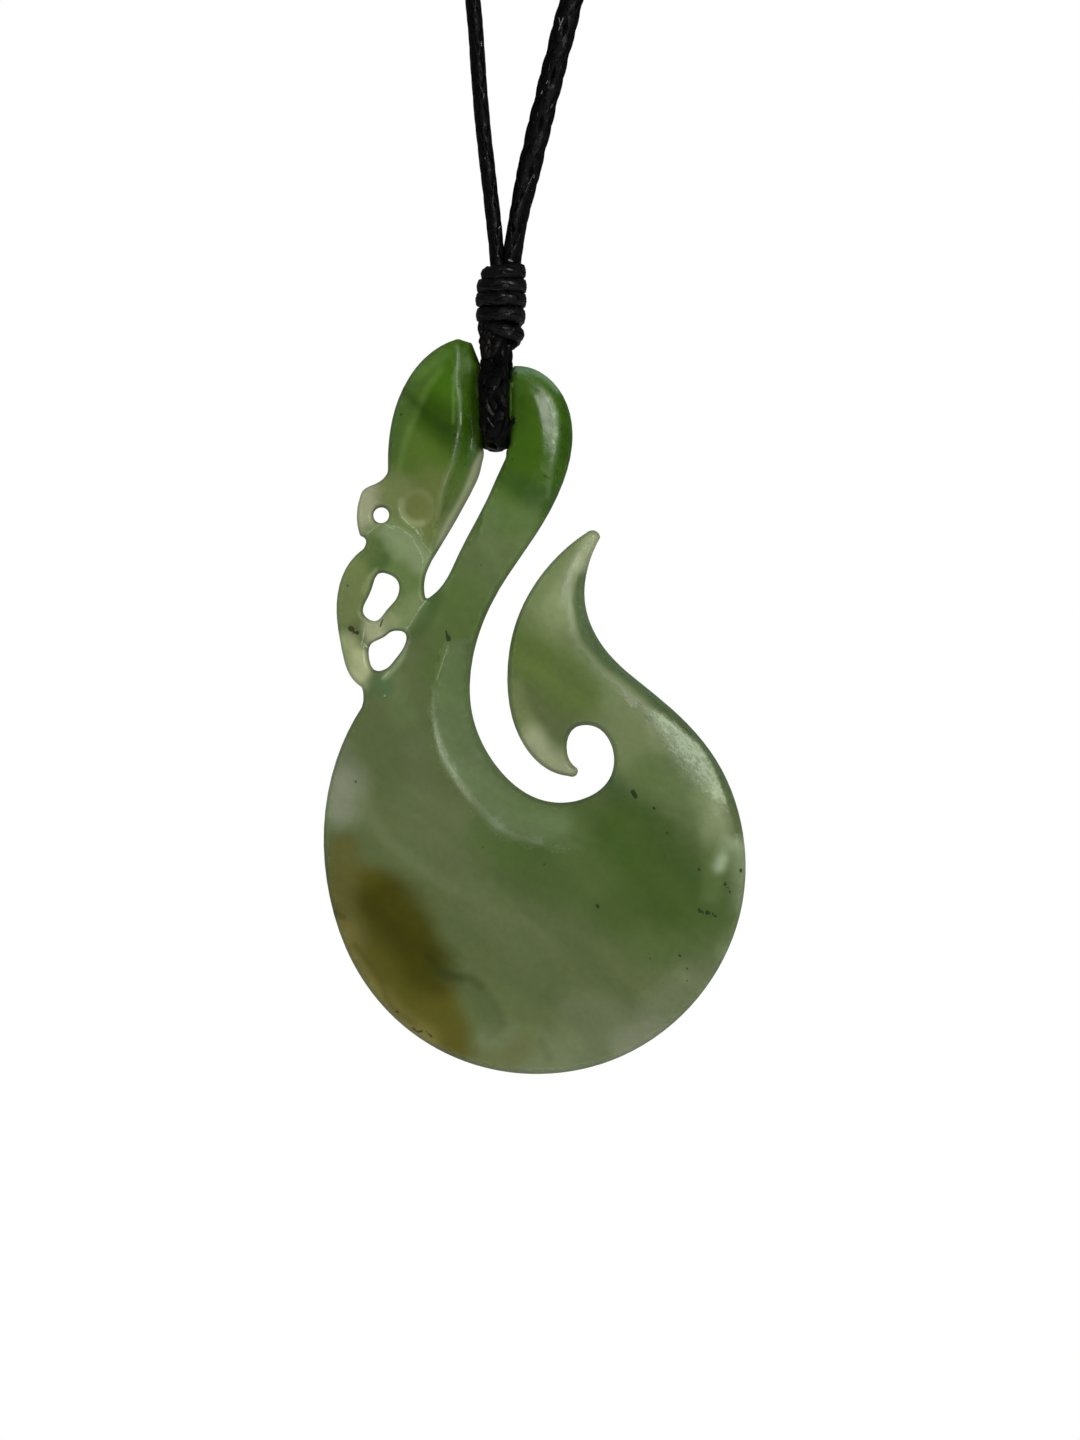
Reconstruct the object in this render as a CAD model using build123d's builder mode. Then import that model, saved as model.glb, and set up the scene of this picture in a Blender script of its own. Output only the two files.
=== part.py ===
from build123d import *
from math import pi, radians, tan
import os

os.makedirs("parts", exist_ok=True)

# Millimetres, +Z up, +X to the right and +Y away from someone who looks at the front of the stone.
# The origin is the underside of the cord at the top of the neck loop, where a neck carries it.

# Stone
stone_height = 60.0
stone_width = 34.4
stone_thickness = 5.4
snout_hole_diameter = 1.3

# Eye: a ring sunk into both faces
eye_diameter = 2.7
eye_groove_width = 0.42
eye_groove_depth = 0.3

# Bridge of stone between head and shank, which the cord goes round
bridge_thickness = 3.0
bridge_height = 4.0
bridge_rounding = 1.2
bridge_root = 0.5

# Braided cord: flat where it goes round the bridge, round elsewhere
cord_diameter = 1.6
bight_width = 2.35
bight_thickness = 1.3
strand_clearance = 0.45
seat_clearance = 0.12
notch_clearance = 0.12
seat_flat = 0.6
strand_spread = 0.75
throat_height = 2.9
throat_straight = 0.9
throat_radius = 1.2
shoulder_radius = 1.5

# Whipping knot over the two strands
knot_diameter = 4.2
knot_height = 6.5
knot_turns = 5
turn_depth = 0.35
knot_offset = 0.45
end_gap = 0.15

# Outline of the stone as shares: across is of its width from its left side, up is of its height
head_back = [(0.318, 1.0), (0.238, 0.973), (0.176, 0.917), (0.155, 0.866), (0.152, 0.82)]
brow = [(0.152, 0.82), (0.14, 0.809), (0.124, 0.803), (0.1, 0.797), (0.086, 0.785)]
snout = [(0.086, 0.785), (0.078, 0.758), (0.086, 0.732)]
jaw = [(0.086, 0.732), (0.098, 0.728), (0.094, 0.714)]
arm = [(0.094, 0.714), (0.045, 0.679), (0.03, 0.631), (0.042, 0.578), (0.062, 0.542), (0.09, 0.526)]
elbow = [(0.09, 0.526), (0.094, 0.513), (0.09, 0.499)]
rim = [
    (0.09, 0.499),
    (0.03, 0.428),
    (0.0, 0.335),
    (0.014, 0.24),
    (0.07, 0.15),
    (0.17, 0.075),
    (0.335, 0.017),
    (0.515, 0.0),
    (0.706, 0.024),
    (0.888, 0.104),
    (0.986, 0.214),
    (0.998, 0.312),
    (0.931, 0.427),
    (0.786, 0.516),
    (0.663, 0.581),
    (0.619, 0.644),
    (0.627, 0.69),
    (0.656, 0.73),
]
barb_tip = [(0.656, 0.73), (0.647, 0.738), (0.627, 0.738)]
barb_back = [
    (0.627, 0.738),
    (0.536, 0.693),
    (0.458, 0.618),
    (0.435, 0.536),
    (0.455, 0.47),
    (0.526, 0.416),
    (0.582, 0.405),
]
barb_point = [(0.582, 0.405), (0.598, 0.406), (0.601, 0.416)]
hook = [
    (0.601, 0.416),
    (0.576, 0.444),
    (0.594, 0.47),
    (0.64, 0.473),
    (0.681, 0.449),
    (0.677, 0.401),
    (0.609, 0.373),
    (0.51, 0.374),
    (0.408, 0.42),
    (0.352, 0.49),
    (0.354, 0.568),
    (0.415, 0.658),
    (0.5, 0.731),
    (0.568, 0.805),
    (0.59, 0.873),
    (0.568, 0.922),
    (0.513, 0.955),
    (0.449, 0.963),
]
slot_right = [(0.429, 0.835), (0.389, 0.784), (0.318, 0.705), (0.284, 0.667), (0.245, 0.646)]
slot_left = [(0.241, 0.647), (0.24, 0.675), (0.279, 0.72), (0.349, 0.79), (0.373, 0.824)]
head_top = [(0.371, 0.965), (0.351, 0.994), (0.318, 1.0)]
arm_hole = [
    (0.147, 0.681),
    (0.179, 0.66),
    (0.168, 0.643),
    (0.149, 0.631),
    (0.122, 0.616),
    (0.095, 0.625),
    (0.112, 0.658),
]
elbow_hole = [
    (0.173, 0.603),
    (0.195, 0.597),
    (0.189, 0.58),
    (0.169, 0.564),
    (0.147, 0.551),
    (0.122, 0.549),
    (0.107, 0.566),
    (0.112, 0.585),
    (0.142, 0.594),
]
snout_hole = (0.136, 0.76)
eye = (0.224, 0.77)
bridge = (0.409, 0.91)

# Crown of the two faces. Up is a share of the height, left and right of the width,
# full and edge of the thickness, halfway across and at the two ends of the section.
crown_sections = [
    {"up": -0.04, "left": 0.0, "right": 1.0, "full": 0.52, "edge": 0.3},
    {"up": 0.14, "left": -0.06, "right": 1.06, "full": 0.86, "edge": 0.36},
    {"up": 0.32, "left": -0.06, "right": 1.06, "full": 1.0, "edge": 0.42},
    {"up": 0.52, "left": -0.04, "right": 0.98, "full": 0.92, "edge": 0.44},
    {"up": 0.74, "left": -0.02, "right": 0.82, "full": 0.8, "edge": 0.46},
    {"up": 0.9, "left": 0.0, "right": 0.76, "full": 0.72, "edge": 0.46},
    {"up": 1.04, "left": 0.02, "right": 0.74, "full": 0.56, "edge": 0.42},
]
eye_face = 0.73

# Neck loop: points across and up from the middle of the knot's top, left strand first
neck_route = [
    (-0.5, 0.0),
    (-1.0, 6.5),
    (-2.3, 20.0),
    (-6.0, 46.0),
    (-16.0, 93.0),
    (-31.0, 143.0),
    (-47.0, 193.0),
    (-56.5, 234.0),
    (-52.5, 261.0),
    (-36.5, 281.5),
    (-12.0, 290.0),
    (16.0, 290.0),
    (40.0, 282.0),
    (56.0, 262.0),
    (60.0, 236.0),
    (52.0, 196.0),
    (38.5, 144.0),
    (24.0, 92.0),
    (11.5, 45.0),
    (4.9, 19.5),
    (1.95, 6.5),
    (1.2, 0.0),
]
loop_top = (2.0, 290.0)
corner_share = 0.45

# Places, from the neck down
knot_x = -loop_top[0]
knot_top = cord_diameter / 2 - loop_top[1] - end_gap
knot_bottom = knot_top - knot_height
bridge_x = knot_x - knot_offset
bridge_top = knot_bottom - throat_height
bridge_z = bridge_top - bridge_height / 2
bridge_bottom = bridge_top - bridge_height
stone_left = bridge_x - bridge[0] * stone_width
stone_bottom = bridge_z - bridge[1] * stone_height
slot_half = bight_width / 2 + notch_clearance
slot_top = bridge_bottom - seat_clearance - bight_thickness


def place(across, up):
    """A point of the stone, from its shares of the width and the height."""
    return (stone_left + across * stone_width, stone_bottom + up * stone_height)


def places(shares):
    return [place(across, up) for across, up in shares]


def corner_radii(points):
    """The arc at each corner of a route, as large as the two runs beside it allow."""
    radii = []
    for before, corner, after in zip(points, points[1:], points[2:]):
        run_in = Vector(*corner) - Vector(*before)
        run_out = Vector(*after) - Vector(*corner)
        turn = radians(run_in.get_angle(run_out))
        radii.append(corner_share * min(run_in.length, run_out.length) / tan(turn / 2))
    return radii


# The crown is wider than the stone, so that it shapes only the two faces
with BuildPart() as crown:
    for section in crown_sections:
        left, height = place(section["left"], section["up"])
        right, height = place(section["right"], section["up"])
        middle = (left + right) / 2
        full = section["full"] * stone_thickness / 2
        edge = section["edge"] * stone_thickness / 2
        with BuildSketch(Plane.XY.offset(height)):
            with BuildLine():
                ThreePointArc((left, -edge), (middle, -full), (right, -edge))
                Line((right, -edge), (right, edge))
                ThreePointArc((right, edge), (middle, full), (left, edge))
                Line((left, edge), (left, -edge))
            make_face()
    loft()

# The stone: one piece, sawn to its outline, crowned and pierced
with BuildPart() as pendant:
    with BuildSketch(Plane.XZ.offset(-stone_thickness)):
        with BuildLine():
            Spline(places(head_back))
            Spline(places(brow))
            ThreePointArc(places(snout))
            Spline(places(jaw))
            Spline(places(arm))
            ThreePointArc(places(elbow))
            Spline(places(rim))
            ThreePointArc(places(barb_tip))
            Spline(places(barb_back))
            ThreePointArc(places(barb_point))
            Spline(places(hook))
            Line(place(*hook[-1]), (bridge_x + slot_half, bridge_top))
            Line((bridge_x + slot_half, bridge_top), (bridge_x + slot_half, slot_top))
            Spline([(bridge_x + slot_half, slot_top)] + places(slot_right))
            Line(place(*slot_right[-1]), place(*slot_left[0]))
            Spline(places(slot_left) + [(bridge_x - slot_half, slot_top)])
            Line((bridge_x - slot_half, slot_top), (bridge_x - slot_half, bridge_top))
            Polyline([(bridge_x - slot_half, bridge_top)] + places(head_top))
        make_face()
    extrude(amount=2 * stone_thickness)
    add(crown.part, mode=Mode.INTERSECT)
    with BuildSketch(Plane.XZ.offset(-stone_thickness)):
        with BuildLine():
            Spline(places(arm_hole), periodic=True)
        make_face()
        with BuildLine():
            Spline(places(elbow_hole), periodic=True)
        make_face()
        with Locations(place(*snout_hole)):
            Circle(snout_hole_diameter / 2)
    extrude(amount=2 * stone_thickness, mode=Mode.SUBTRACT)
    for side in (-1, 1):
        groove_floor = eye_face * stone_thickness / 2 - eye_groove_depth
        with BuildSketch(Plane.XZ.offset(side * groove_floor)):
            with Locations(place(*eye)):
                Circle(eye_diameter / 2)
                Circle(eye_diameter / 2 - eye_groove_width, mode=Mode.SUBTRACT)
        extrude(amount=side * stone_thickness, mode=Mode.SUBTRACT)
    with BuildSketch(Plane.YZ.offset(bridge_x - slot_half - bridge_root)):
        with Locations((0, bridge_z)):
            RectangleRounded(bridge_thickness, bridge_height, bridge_rounding)
    extrude(amount=2 * (slot_half + bridge_root))
pendant.part.label = "pendant"
export_step(pendant.part, "parts/pendant.step")

# Cord from the knot down the front of the bridge, under it through the slot and up its back
strand_y = bridge_thickness / 2 + strand_clearance + bight_thickness / 2
seat_z = bridge_bottom - seat_clearance - bight_thickness / 2
shoulder_z = bridge_top - bridge_height / 4
throat_top = knot_bottom - end_gap
throat_bottom = knot_bottom - throat_straight
with BuildPart() as cord_bight:
    with BuildLine(Plane.YZ.offset(bridge_x)) as bight_line:
        FilletPolyline(
            (-strand_spread, throat_top),
            (-strand_spread, throat_bottom),
            (-strand_y, shoulder_z),
            (-strand_y, seat_z),
            (strand_y, seat_z),
            (strand_y, shoulder_z),
            (strand_spread, throat_bottom),
            (strand_spread, throat_top),
            radius=[
                throat_radius,
                shoulder_radius,
                strand_y - seat_flat / 2,
                strand_y - seat_flat / 2,
                shoulder_radius,
                throat_radius,
            ],
        )
    bight_path = bight_line.wires()[0]
    with BuildSketch(Plane(origin=bight_path @ 0, z_dir=bight_path % 0, x_dir=(1, 0, 0))):
        Ellipse(bight_width / 2, bight_thickness / 2)
    sweep()
cord_bight.part.label = "cord_bight"
export_step(cord_bight.part, "parts/cord_bight.step")
bight_section = pi * bight_width * bight_thickness / 4
print("bight length", round(bight_path.length, 1), "volume", round(cord_bight.part.volume, 1))
print("bight section times length", round(bight_section * bight_path.length, 1))

# Whipping knot: turns laid one on another round the strands
turn_height = knot_height / knot_turns
knot_valley = knot_x + knot_diameter / 2 - turn_depth
knot_crest = knot_x + knot_diameter / 2
with BuildPart() as wrap_knot:
    with BuildSketch(Plane.XZ):
        with BuildLine():
            Line((knot_x, knot_bottom), (knot_valley, knot_bottom))
            for turn in range(knot_turns):
                low = knot_bottom + turn * turn_height
                high = low + turn_height
                ThreePointArc((knot_valley, low), (knot_crest, (low + high) / 2), (knot_valley, high))
            Line((knot_valley, knot_top), (knot_x, knot_top))
            Line((knot_x, knot_top), (knot_x, knot_bottom))
        make_face()
    revolve(axis=Axis((knot_x, 0, knot_bottom), (0, 0, 1)))
wrap_knot.part.label = "wrap_knot"
export_step(wrap_knot.part, "parts/wrap_knot.step")

# Neck cord: the whole loop, from the knot up one side, over the neck and down to the knot again
neck_points = [(knot_x + across, knot_top + end_gap + up) for across, up in neck_route]
neck_radii = corner_radii(neck_points)
with BuildPart() as neck_cord:
    with BuildLine(Plane.XZ) as neck_line:
        FilletPolyline(*neck_points, radius=neck_radii)
    neck_path = neck_line.wires()[0]
    with BuildSketch(Plane(origin=neck_path @ 0, z_dir=neck_path % 0)):
        Circle(cord_diameter / 2)
    sweep()
neck_cord.part.label = "neck_cord"
export_step(neck_cord.part, "parts/neck_cord.step")
neck_section = pi * cord_diameter**2 / 4
print("neck loop radii", [round(radius) for radius in neck_radii])
print("neck loop length", round(neck_path.length, 1), "volume", round(neck_cord.part.volume, 1))
print("neck section times length", round(neck_section * neck_path.length, 1))
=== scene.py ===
import math

import bmesh
import bpy
import numpy as np
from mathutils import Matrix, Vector
from mathutils.bvhtree import BVHTree


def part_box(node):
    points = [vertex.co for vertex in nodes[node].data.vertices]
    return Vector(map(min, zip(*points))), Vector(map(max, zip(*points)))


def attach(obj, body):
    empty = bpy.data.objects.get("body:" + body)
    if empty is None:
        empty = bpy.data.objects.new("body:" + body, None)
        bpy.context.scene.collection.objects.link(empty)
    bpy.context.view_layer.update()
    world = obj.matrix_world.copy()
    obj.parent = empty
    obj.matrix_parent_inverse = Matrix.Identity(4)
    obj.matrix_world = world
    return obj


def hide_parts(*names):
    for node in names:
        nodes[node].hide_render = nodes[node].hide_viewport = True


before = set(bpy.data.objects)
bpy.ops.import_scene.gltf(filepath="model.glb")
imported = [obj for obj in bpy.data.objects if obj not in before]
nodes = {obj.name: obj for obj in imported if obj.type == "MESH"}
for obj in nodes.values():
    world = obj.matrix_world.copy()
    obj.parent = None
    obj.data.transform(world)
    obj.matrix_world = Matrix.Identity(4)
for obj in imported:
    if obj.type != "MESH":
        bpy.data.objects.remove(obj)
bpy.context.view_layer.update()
collection = bpy.context.scene.collection
mm = 0.001
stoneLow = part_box("pendant")[0]
stoneLeft = stoneLow[0] / mm
stoneBottom = stoneLow[2] / mm
print("frame loaded")


def smoothStep(value):
    value = np.clip(value, 0.0, 1.0)
    return value * value * (3.0 - 2.0 * value)


def unit(vectors):
    return vectors / np.maximum(np.linalg.norm(vectors, axis=-1, keepdims=True), 1e-12)


def bell(value, width):
    return np.exp(-((value / width) ** 2))


def meshPiece(name, points, faces, material, body, attributes=None):
    mesh = bpy.data.meshes.new(name)
    mesh.from_pydata(np.asarray(points).tolist(), [], faces)
    mesh.update()
    mesh.shade_smooth()
    for key, values in (attributes or {}).items():
        kind = {1: "FLOAT", 3: "FLOAT_VECTOR", 4: "FLOAT_COLOR"}[1 if values.ndim == 1 else values.shape[1]]
        layer = mesh.attributes.new(key, kind, "POINT")
        field = {"FLOAT": "value", "FLOAT_VECTOR": "vector", "FLOAT_COLOR": "color"}[kind]
        layer.data.foreach_set(field, np.asarray(values, dtype=np.float32).ravel())
    mesh.materials.append(material)
    piece = bpy.data.objects.new(name, mesh)
    collection.objects.link(piece)
    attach(piece, body)
    return piece


def linear(red, green, blue):
    parts = np.array([red, green, blue]) / 255.0
    parts = np.where(parts <= 0.04045, parts / 12.92, ((parts + 0.055) / 1.055) ** 2.4)
    return tuple(float(part) for part in parts)


def groupTree(name, inputs, outputs):
    tree = bpy.data.node_groups.new(name, "ShaderNodeTree")
    for label, kind, default in inputs:
        socket = tree.interface.new_socket(name=label, in_out="INPUT", socket_type=kind)
        if default is not None:
            socket.default_value = default
    for label, kind in outputs:
        tree.interface.new_socket(name=label, in_out="OUTPUT", socket_type=kind)
    return tree, tree.nodes.new("NodeGroupInput"), tree.nodes.new("NodeGroupOutput")


def feed(tree, socket, value):
    # a socket takes a value or another node's output
    if isinstance(value, bpy.types.NodeSocket):
        tree.links.new(value, socket)
    else:
        socket.default_value = value


def addNode(tree, kind, inputs, operation=None):
    node = tree.nodes.new("ShaderNode" + kind)
    if operation:
        node.operation = operation
    for name, value in inputs.items():
        feed(tree, node.inputs[name], value)
    return node


def reckon(tree, operation, first, second=None, clamp=False):
    node = addNode(tree, "Math", {0: first}, operation)
    node.use_clamp = clamp
    if second is not None:
        feed(tree, node.inputs[1], second)
    return node.outputs[0]


def multiply(tree, first, second):
    return reckon(tree, "MULTIPLY", first, second)


def spread(tree, value, low, high, toLow=0.0, toHigh=1.0):
    # low to high becomes toLow to toHigh, with soft ends
    inputs = {"Value": value, "From Min": low, "From Max": high, "To Min": toLow, "To Max": toHigh}
    node = addNode(tree, "MapRange", inputs)
    node.interpolation_type = "SMOOTHSTEP"
    return node.outputs["Result"]


def blendColour(tree, factor, first, second, mode="MIX"):
    node = tree.nodes.new("ShaderNodeMix")
    node.data_type = "RGBA"
    node.blend_type = mode
    for index, value in ((0, factor), (6, first), (7, second)):
        feed(tree, node.inputs[index], (*value, 1) if isinstance(value, tuple) else value)
    return node.outputs[2]


def readAttribute(tree, name, output="Fac"):
    node = tree.nodes.new("ShaderNodeAttribute")
    node.attribute_name = name
    return node.outputs[output]


# camera and light
view = {
    "centre": (17.66, 28.89),  # mm on the stone, from its lower left corner
    "distance": 0.40,
    "frameHeight": 0.11755,
}
cameraData = bpy.data.cameras.new("camera")
cameraData.sensor_width = 36.0
cameraData.lens = 36.0 * view["distance"] / view["frameHeight"]
cameraData.clip_start = 0.02
cameraData.clip_end = 20.0
camera = bpy.data.objects.new("camera", cameraData)
camera.location = (
    (stoneLeft + view["centre"][0]) * mm,
    -view["distance"],
    (stoneBottom + view["centre"][1]) * mm,
)
camera.rotation_euler = (math.radians(90), 0, 0)
collection.objects.link(camera)
bpy.context.scene.camera = camera
bpy.context.scene.view_settings.view_transform = "Standard"

studio = {
    "backdrop": (1.0, 1.0, 1.0),
    "air": (0.93, 0.97, 1.0),
    "airStrength": 0.12,
    "behindStrength": 0.75,  # glow of the backdrop, from behind the stone
}
world = bpy.data.worlds.new("studio")
bpy.context.scene.world = world
world.use_nodes = True
worldTree = world.node_tree
worldTree.nodes.clear()
rayKind = worldTree.nodes.new("ShaderNodeLightPath")
direction = worldTree.nodes.new("ShaderNodeTexCoord")
directionParts = addNode(worldTree, "SeparateXYZ", {0: direction.outputs["Generated"]})
airStrength = studio["airStrength"]
behind = spread(worldTree, directionParts.outputs["Y"], 0.1, 0.8, airStrength, studio["behindStrength"])
glossy = rayKind.outputs["Is Glossy Ray"]  # the glow behind isn't mirrored in the polish
strength = addNode(worldTree, "Mix", {"Factor": glossy, "A": behind, "B": airStrength}).outputs["Result"]
seen = addNode(worldTree, "Background", {"Color": (*studio["backdrop"], 1)}).outputs[0]
felt = addNode(worldTree, "Background", {"Color": (*studio["air"], 1), "Strength": strength}).outputs[0]
worldMix = addNode(worldTree, "MixShader", {"Fac": rayKind.outputs["Is Camera Ray"], 1: felt, 2: seen})
addNode(worldTree, "OutputWorld", {"Surface": worldMix.outputs[0]})

white = (1.0, 1.0, 1.0)
keyTint = (1.0, 0.99, 0.97)
lamps = [  # name, place from the stone's middle, size, watts, tint
    ("key", (0.27, -0.52, 0.20), 0.24, 1.5, keyTint),
    ("backKey", (0.30, 0.52, 0.24), 0.24, 1.2, keyTint),
    ("left", (-0.75, -0.55, 0.10), 0.9, 5.9, (0.97, 0.99, 1.0)),
    ("right", (0.85, -0.45, -0.15), 0.9, 4.5, (1.0, 1.0, 0.98)),
    ("top", (0.0, -0.25, 0.9), 0.8, 3.1, white),
    ("back", (-0.15, 0.85, 0.10), 0.9, 1.2, (1.0, 1.0, 0.97)),
    ("under", (0.10, -0.35, -0.75), 0.6, 1.2, white),
]
lampTarget = np.array([0.0, 0.0, -0.325])
for name, offset, lampSize, watts, tint in lamps:
    data = bpy.data.lights.new(name, "AREA")
    data.size = lampSize
    data.energy = watts
    data.color = tint
    light = bpy.data.objects.new(name, data)
    place = lampTarget + np.array(offset)
    light.location = place
    light.visible_glossy = name == "key"  # the others light without a mirror image
    light.rotation_mode = "QUATERNION"
    light.rotation_quaternion = Vector(lampTarget - place).to_track_quat("-Z", "Y")
    collection.objects.link(light)

floorSize, floorHeight = 3.0, -1.2
floorMaterial = bpy.data.materials.new("paleFloor")
floorMaterial.use_nodes = True
floorShader = floorMaterial.node_tree.nodes["Principled BSDF"]
floorShader.inputs["Base Color"].default_value = (0.82, 0.82, 0.8, 1)
floorShader.inputs["Roughness"].default_value = 0.8
floorShader.inputs["Emission Color"].default_value = (0.5, 0.5, 0.49, 1)
floorRays = floorMaterial.node_tree.nodes.new("ShaderNodeLightPath")
floorMaterial.node_tree.links.new(floorRays.outputs["Is Camera Ray"], floorShader.inputs["Emission Strength"])
floorMesh = bpy.data.meshes.new("floor")
floorAngles = np.linspace(0, 2 * math.pi, 97)[:-1]
floorMesh.from_pydata(
    [(math.cos(a) * floorSize, math.sin(a) * floorSize, floorHeight) for a in floorAngles],
    [],
    [tuple(range(len(floorAngles)))],
)
floorMesh.materials.append(floorMaterial)
floor = bpy.data.objects.new("floor", floorMesh)
collection.objects.link(floor)
print("camera, light and floor set")


# streaks that run along a yarn: colour, roughness and height
fibreTree, fibreIn, fibreOut = groupTree(
    "waxedFibre",
    [
        ("Dark", "NodeSocketColor", (0.006, 0.0055, 0.005, 1)),
        ("Light", "NodeSocketColor", (0.03, 0.028, 0.026, 1)),
        ("Fleck", "NodeSocketColor", (0.17, 0.155, 0.14, 1)),
        ("Fineness", "NodeSocketFloat", 9.0),
        ("Wax", "NodeSocketFloat", 0.5),
    ],
    [("Color", "NodeSocketColor"), ("Roughness", "NodeSocketFloat"), ("Height", "NodeSocketFloat")],
)
alongYarn = readAttribute(fibreTree, "yarn", "Vector")
stretch = addNode(fibreTree, "VectorMath", {0: alongYarn, 1: (1.0, 0.16, 1.0)}, "MULTIPLY")
streak = addNode(
    fibreTree,
    "TexNoise",
    {"Vector": stretch.outputs[0], "Scale": fibreIn.outputs["Fineness"], "Detail": 4.0, "Roughness": 0.65},
)
wax = addNode(fibreTree, "TexNoise", {"Vector": alongYarn, "Scale": 1.6, "Detail": 3.0})
shorten = addNode(fibreTree, "VectorMath", {0: alongYarn, 1: (1.7, 0.8, 1.7)}, "MULTIPLY")
fleck = addNode(fibreTree, "TexNoise", {"Vector": shorten.outputs[0], "Scale": 2.3, "Detail": 1.0})
fleckMask = spread(fibreTree, fleck.outputs[0], 0.76, 0.82)
streakMask = spread(fibreTree, streak.outputs[0], 0.38, 0.72)
waxMask = spread(fibreTree, wax.outputs[0], 0.42, 0.62)
streaked = blendColour(fibreTree, streakMask, fibreIn.outputs["Dark"], fibreIn.outputs["Light"])
flecked = blendColour(fibreTree, multiply(fibreTree, fleckMask, 0.8), streaked, fibreIn.outputs["Fleck"])
waxed = multiply(fibreTree, waxMask, fibreIn.outputs["Wax"])
fibreRoughness = reckon(fibreTree, "SUBTRACT", 0.62, multiply(fibreTree, waxed, 0.5))
feed(fibreTree, fibreOut.inputs["Color"], flecked)
feed(fibreTree, fibreOut.inputs["Roughness"], fibreRoughness)
feed(fibreTree, fibreOut.inputs["Height"], streak.outputs[0])


def cordMaterial(name, dark, light, fineness, wax, shine, bump):
    material = bpy.data.materials.new(name)
    material.use_nodes = True
    tree = material.node_tree
    shader = tree.nodes["Principled BSDF"]
    shader.inputs["Specular IOR Level"].default_value = shine
    fibre = tree.nodes.new("ShaderNodeGroup")
    fibre.node_tree = fibreTree
    fibre.inputs["Dark"].default_value = (*dark, 1)
    fibre.inputs["Light"].default_value = (*light, 1)
    fibre.inputs["Fineness"].default_value = fineness
    fibre.inputs["Wax"].default_value = wax
    height = addNode(tree, "Bump", {"Strength": bump, "Distance": 0.00006, "Height": fibre.outputs["Height"]})
    tree.links.new(fibre.outputs["Color"], shader.inputs["Base Color"])
    tree.links.new(fibre.outputs["Roughness"], shader.inputs["Roughness"])
    tree.links.new(height.outputs[0], shader.inputs["Normal"])
    return material


braidMaterial = cordMaterial(
    "blackWaxedBraid",
    dark=(0.0005, 0.0004, 0.0006),
    light=(0.0024, 0.0020, 0.0025),
    fineness=7.0, wax=0.8, shine=0.15, bump=0.6,
)
bightMaterial = cordMaterial(
    "blackBraidInTheStone",
    dark=(0.0004, 0.0003, 0.0004),
    light=(0.0022, 0.0016, 0.0014),
    fineness=5.0, wax=0.8, shine=0.12, bump=0.9,
)
knotMaterial = cordMaterial(
    "blackWaxedWhipping",
    dark=(0.0005, 0.0004, 0.0005),
    light=(0.0032, 0.0026, 0.0030),
    fineness=6.0, wax=1.0, shine=0.26, bump=0.6,
)
frayedMaterial = cordMaterial(
    "frayedWhipping",
    dark=(0.0010, 0.0008, 0.0007),
    light=(0.0050, 0.0033, 0.0024),
    fineness=5.0, wax=0.7, shine=0.16, bump=0.9,
)
meltMaterial = cordMaterial(
    "meltedCordEnd",
    dark=(0.10, 0.085, 0.07),
    light=(0.26, 0.23, 0.20),
    fineness=4.0, wax=1.0, shine=0.6, bump=0.5,
)


def splineLine(points, resolution=24):
    curve = bpy.data.curves.new("route", "CURVE")
    curve.dimensions = "3D"
    spline = curve.splines.new("NURBS")
    spline.points.add(len(points) - 1)
    for point, place in zip(spline.points, points):
        point.co = (*place, 1)
    spline.order_u = 3
    spline.use_endpoint_u = True
    spline.resolution_u = resolution
    carrier = bpy.data.objects.new("route", curve)
    line = bpy.data.meshes.new_from_object(carrier)
    found = np.array([vertex.co[:] for vertex in line.vertices])
    bpy.data.objects.remove(carrier)
    bpy.data.curves.remove(curve)
    bpy.data.meshes.remove(line)
    return found


def alongLine(line, stations):
    gaps = np.linalg.norm(np.diff(line, axis=0), axis=1)
    length = np.concatenate([[0], np.cumsum(gaps)])
    return np.stack([np.interp(stations, length, line[:, axis]) for axis in range(3)], axis=1)


def lineLength(line):
    return float(np.linalg.norm(np.diff(line, axis=0), axis=1).sum())


def tubeFaces(rings, sides, first=0):
    faces = []
    for ring in range(rings - 1):
        low = first + ring * sides
        for side in range(sides):
            after = (side + 1) % sides
            faces.append((low + side, low + after, low + sides + after, low + sides + side))
    faces.append(tuple(first + side for side in reversed(range(sides))))
    faces.append(tuple(first + (rings - 1) * sides + side for side in range(sides)))
    return faces


def ringsAround(centre, first, second, alongFirst, alongSecond):
    # a ring of points about each station, in the plane of two axes
    return (
        centre[:, None, :]
        + first[:, None, :] * alongFirst[:, :, None]
        + second[:, None, :] * alongSecond[:, :, None]
    )


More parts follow.
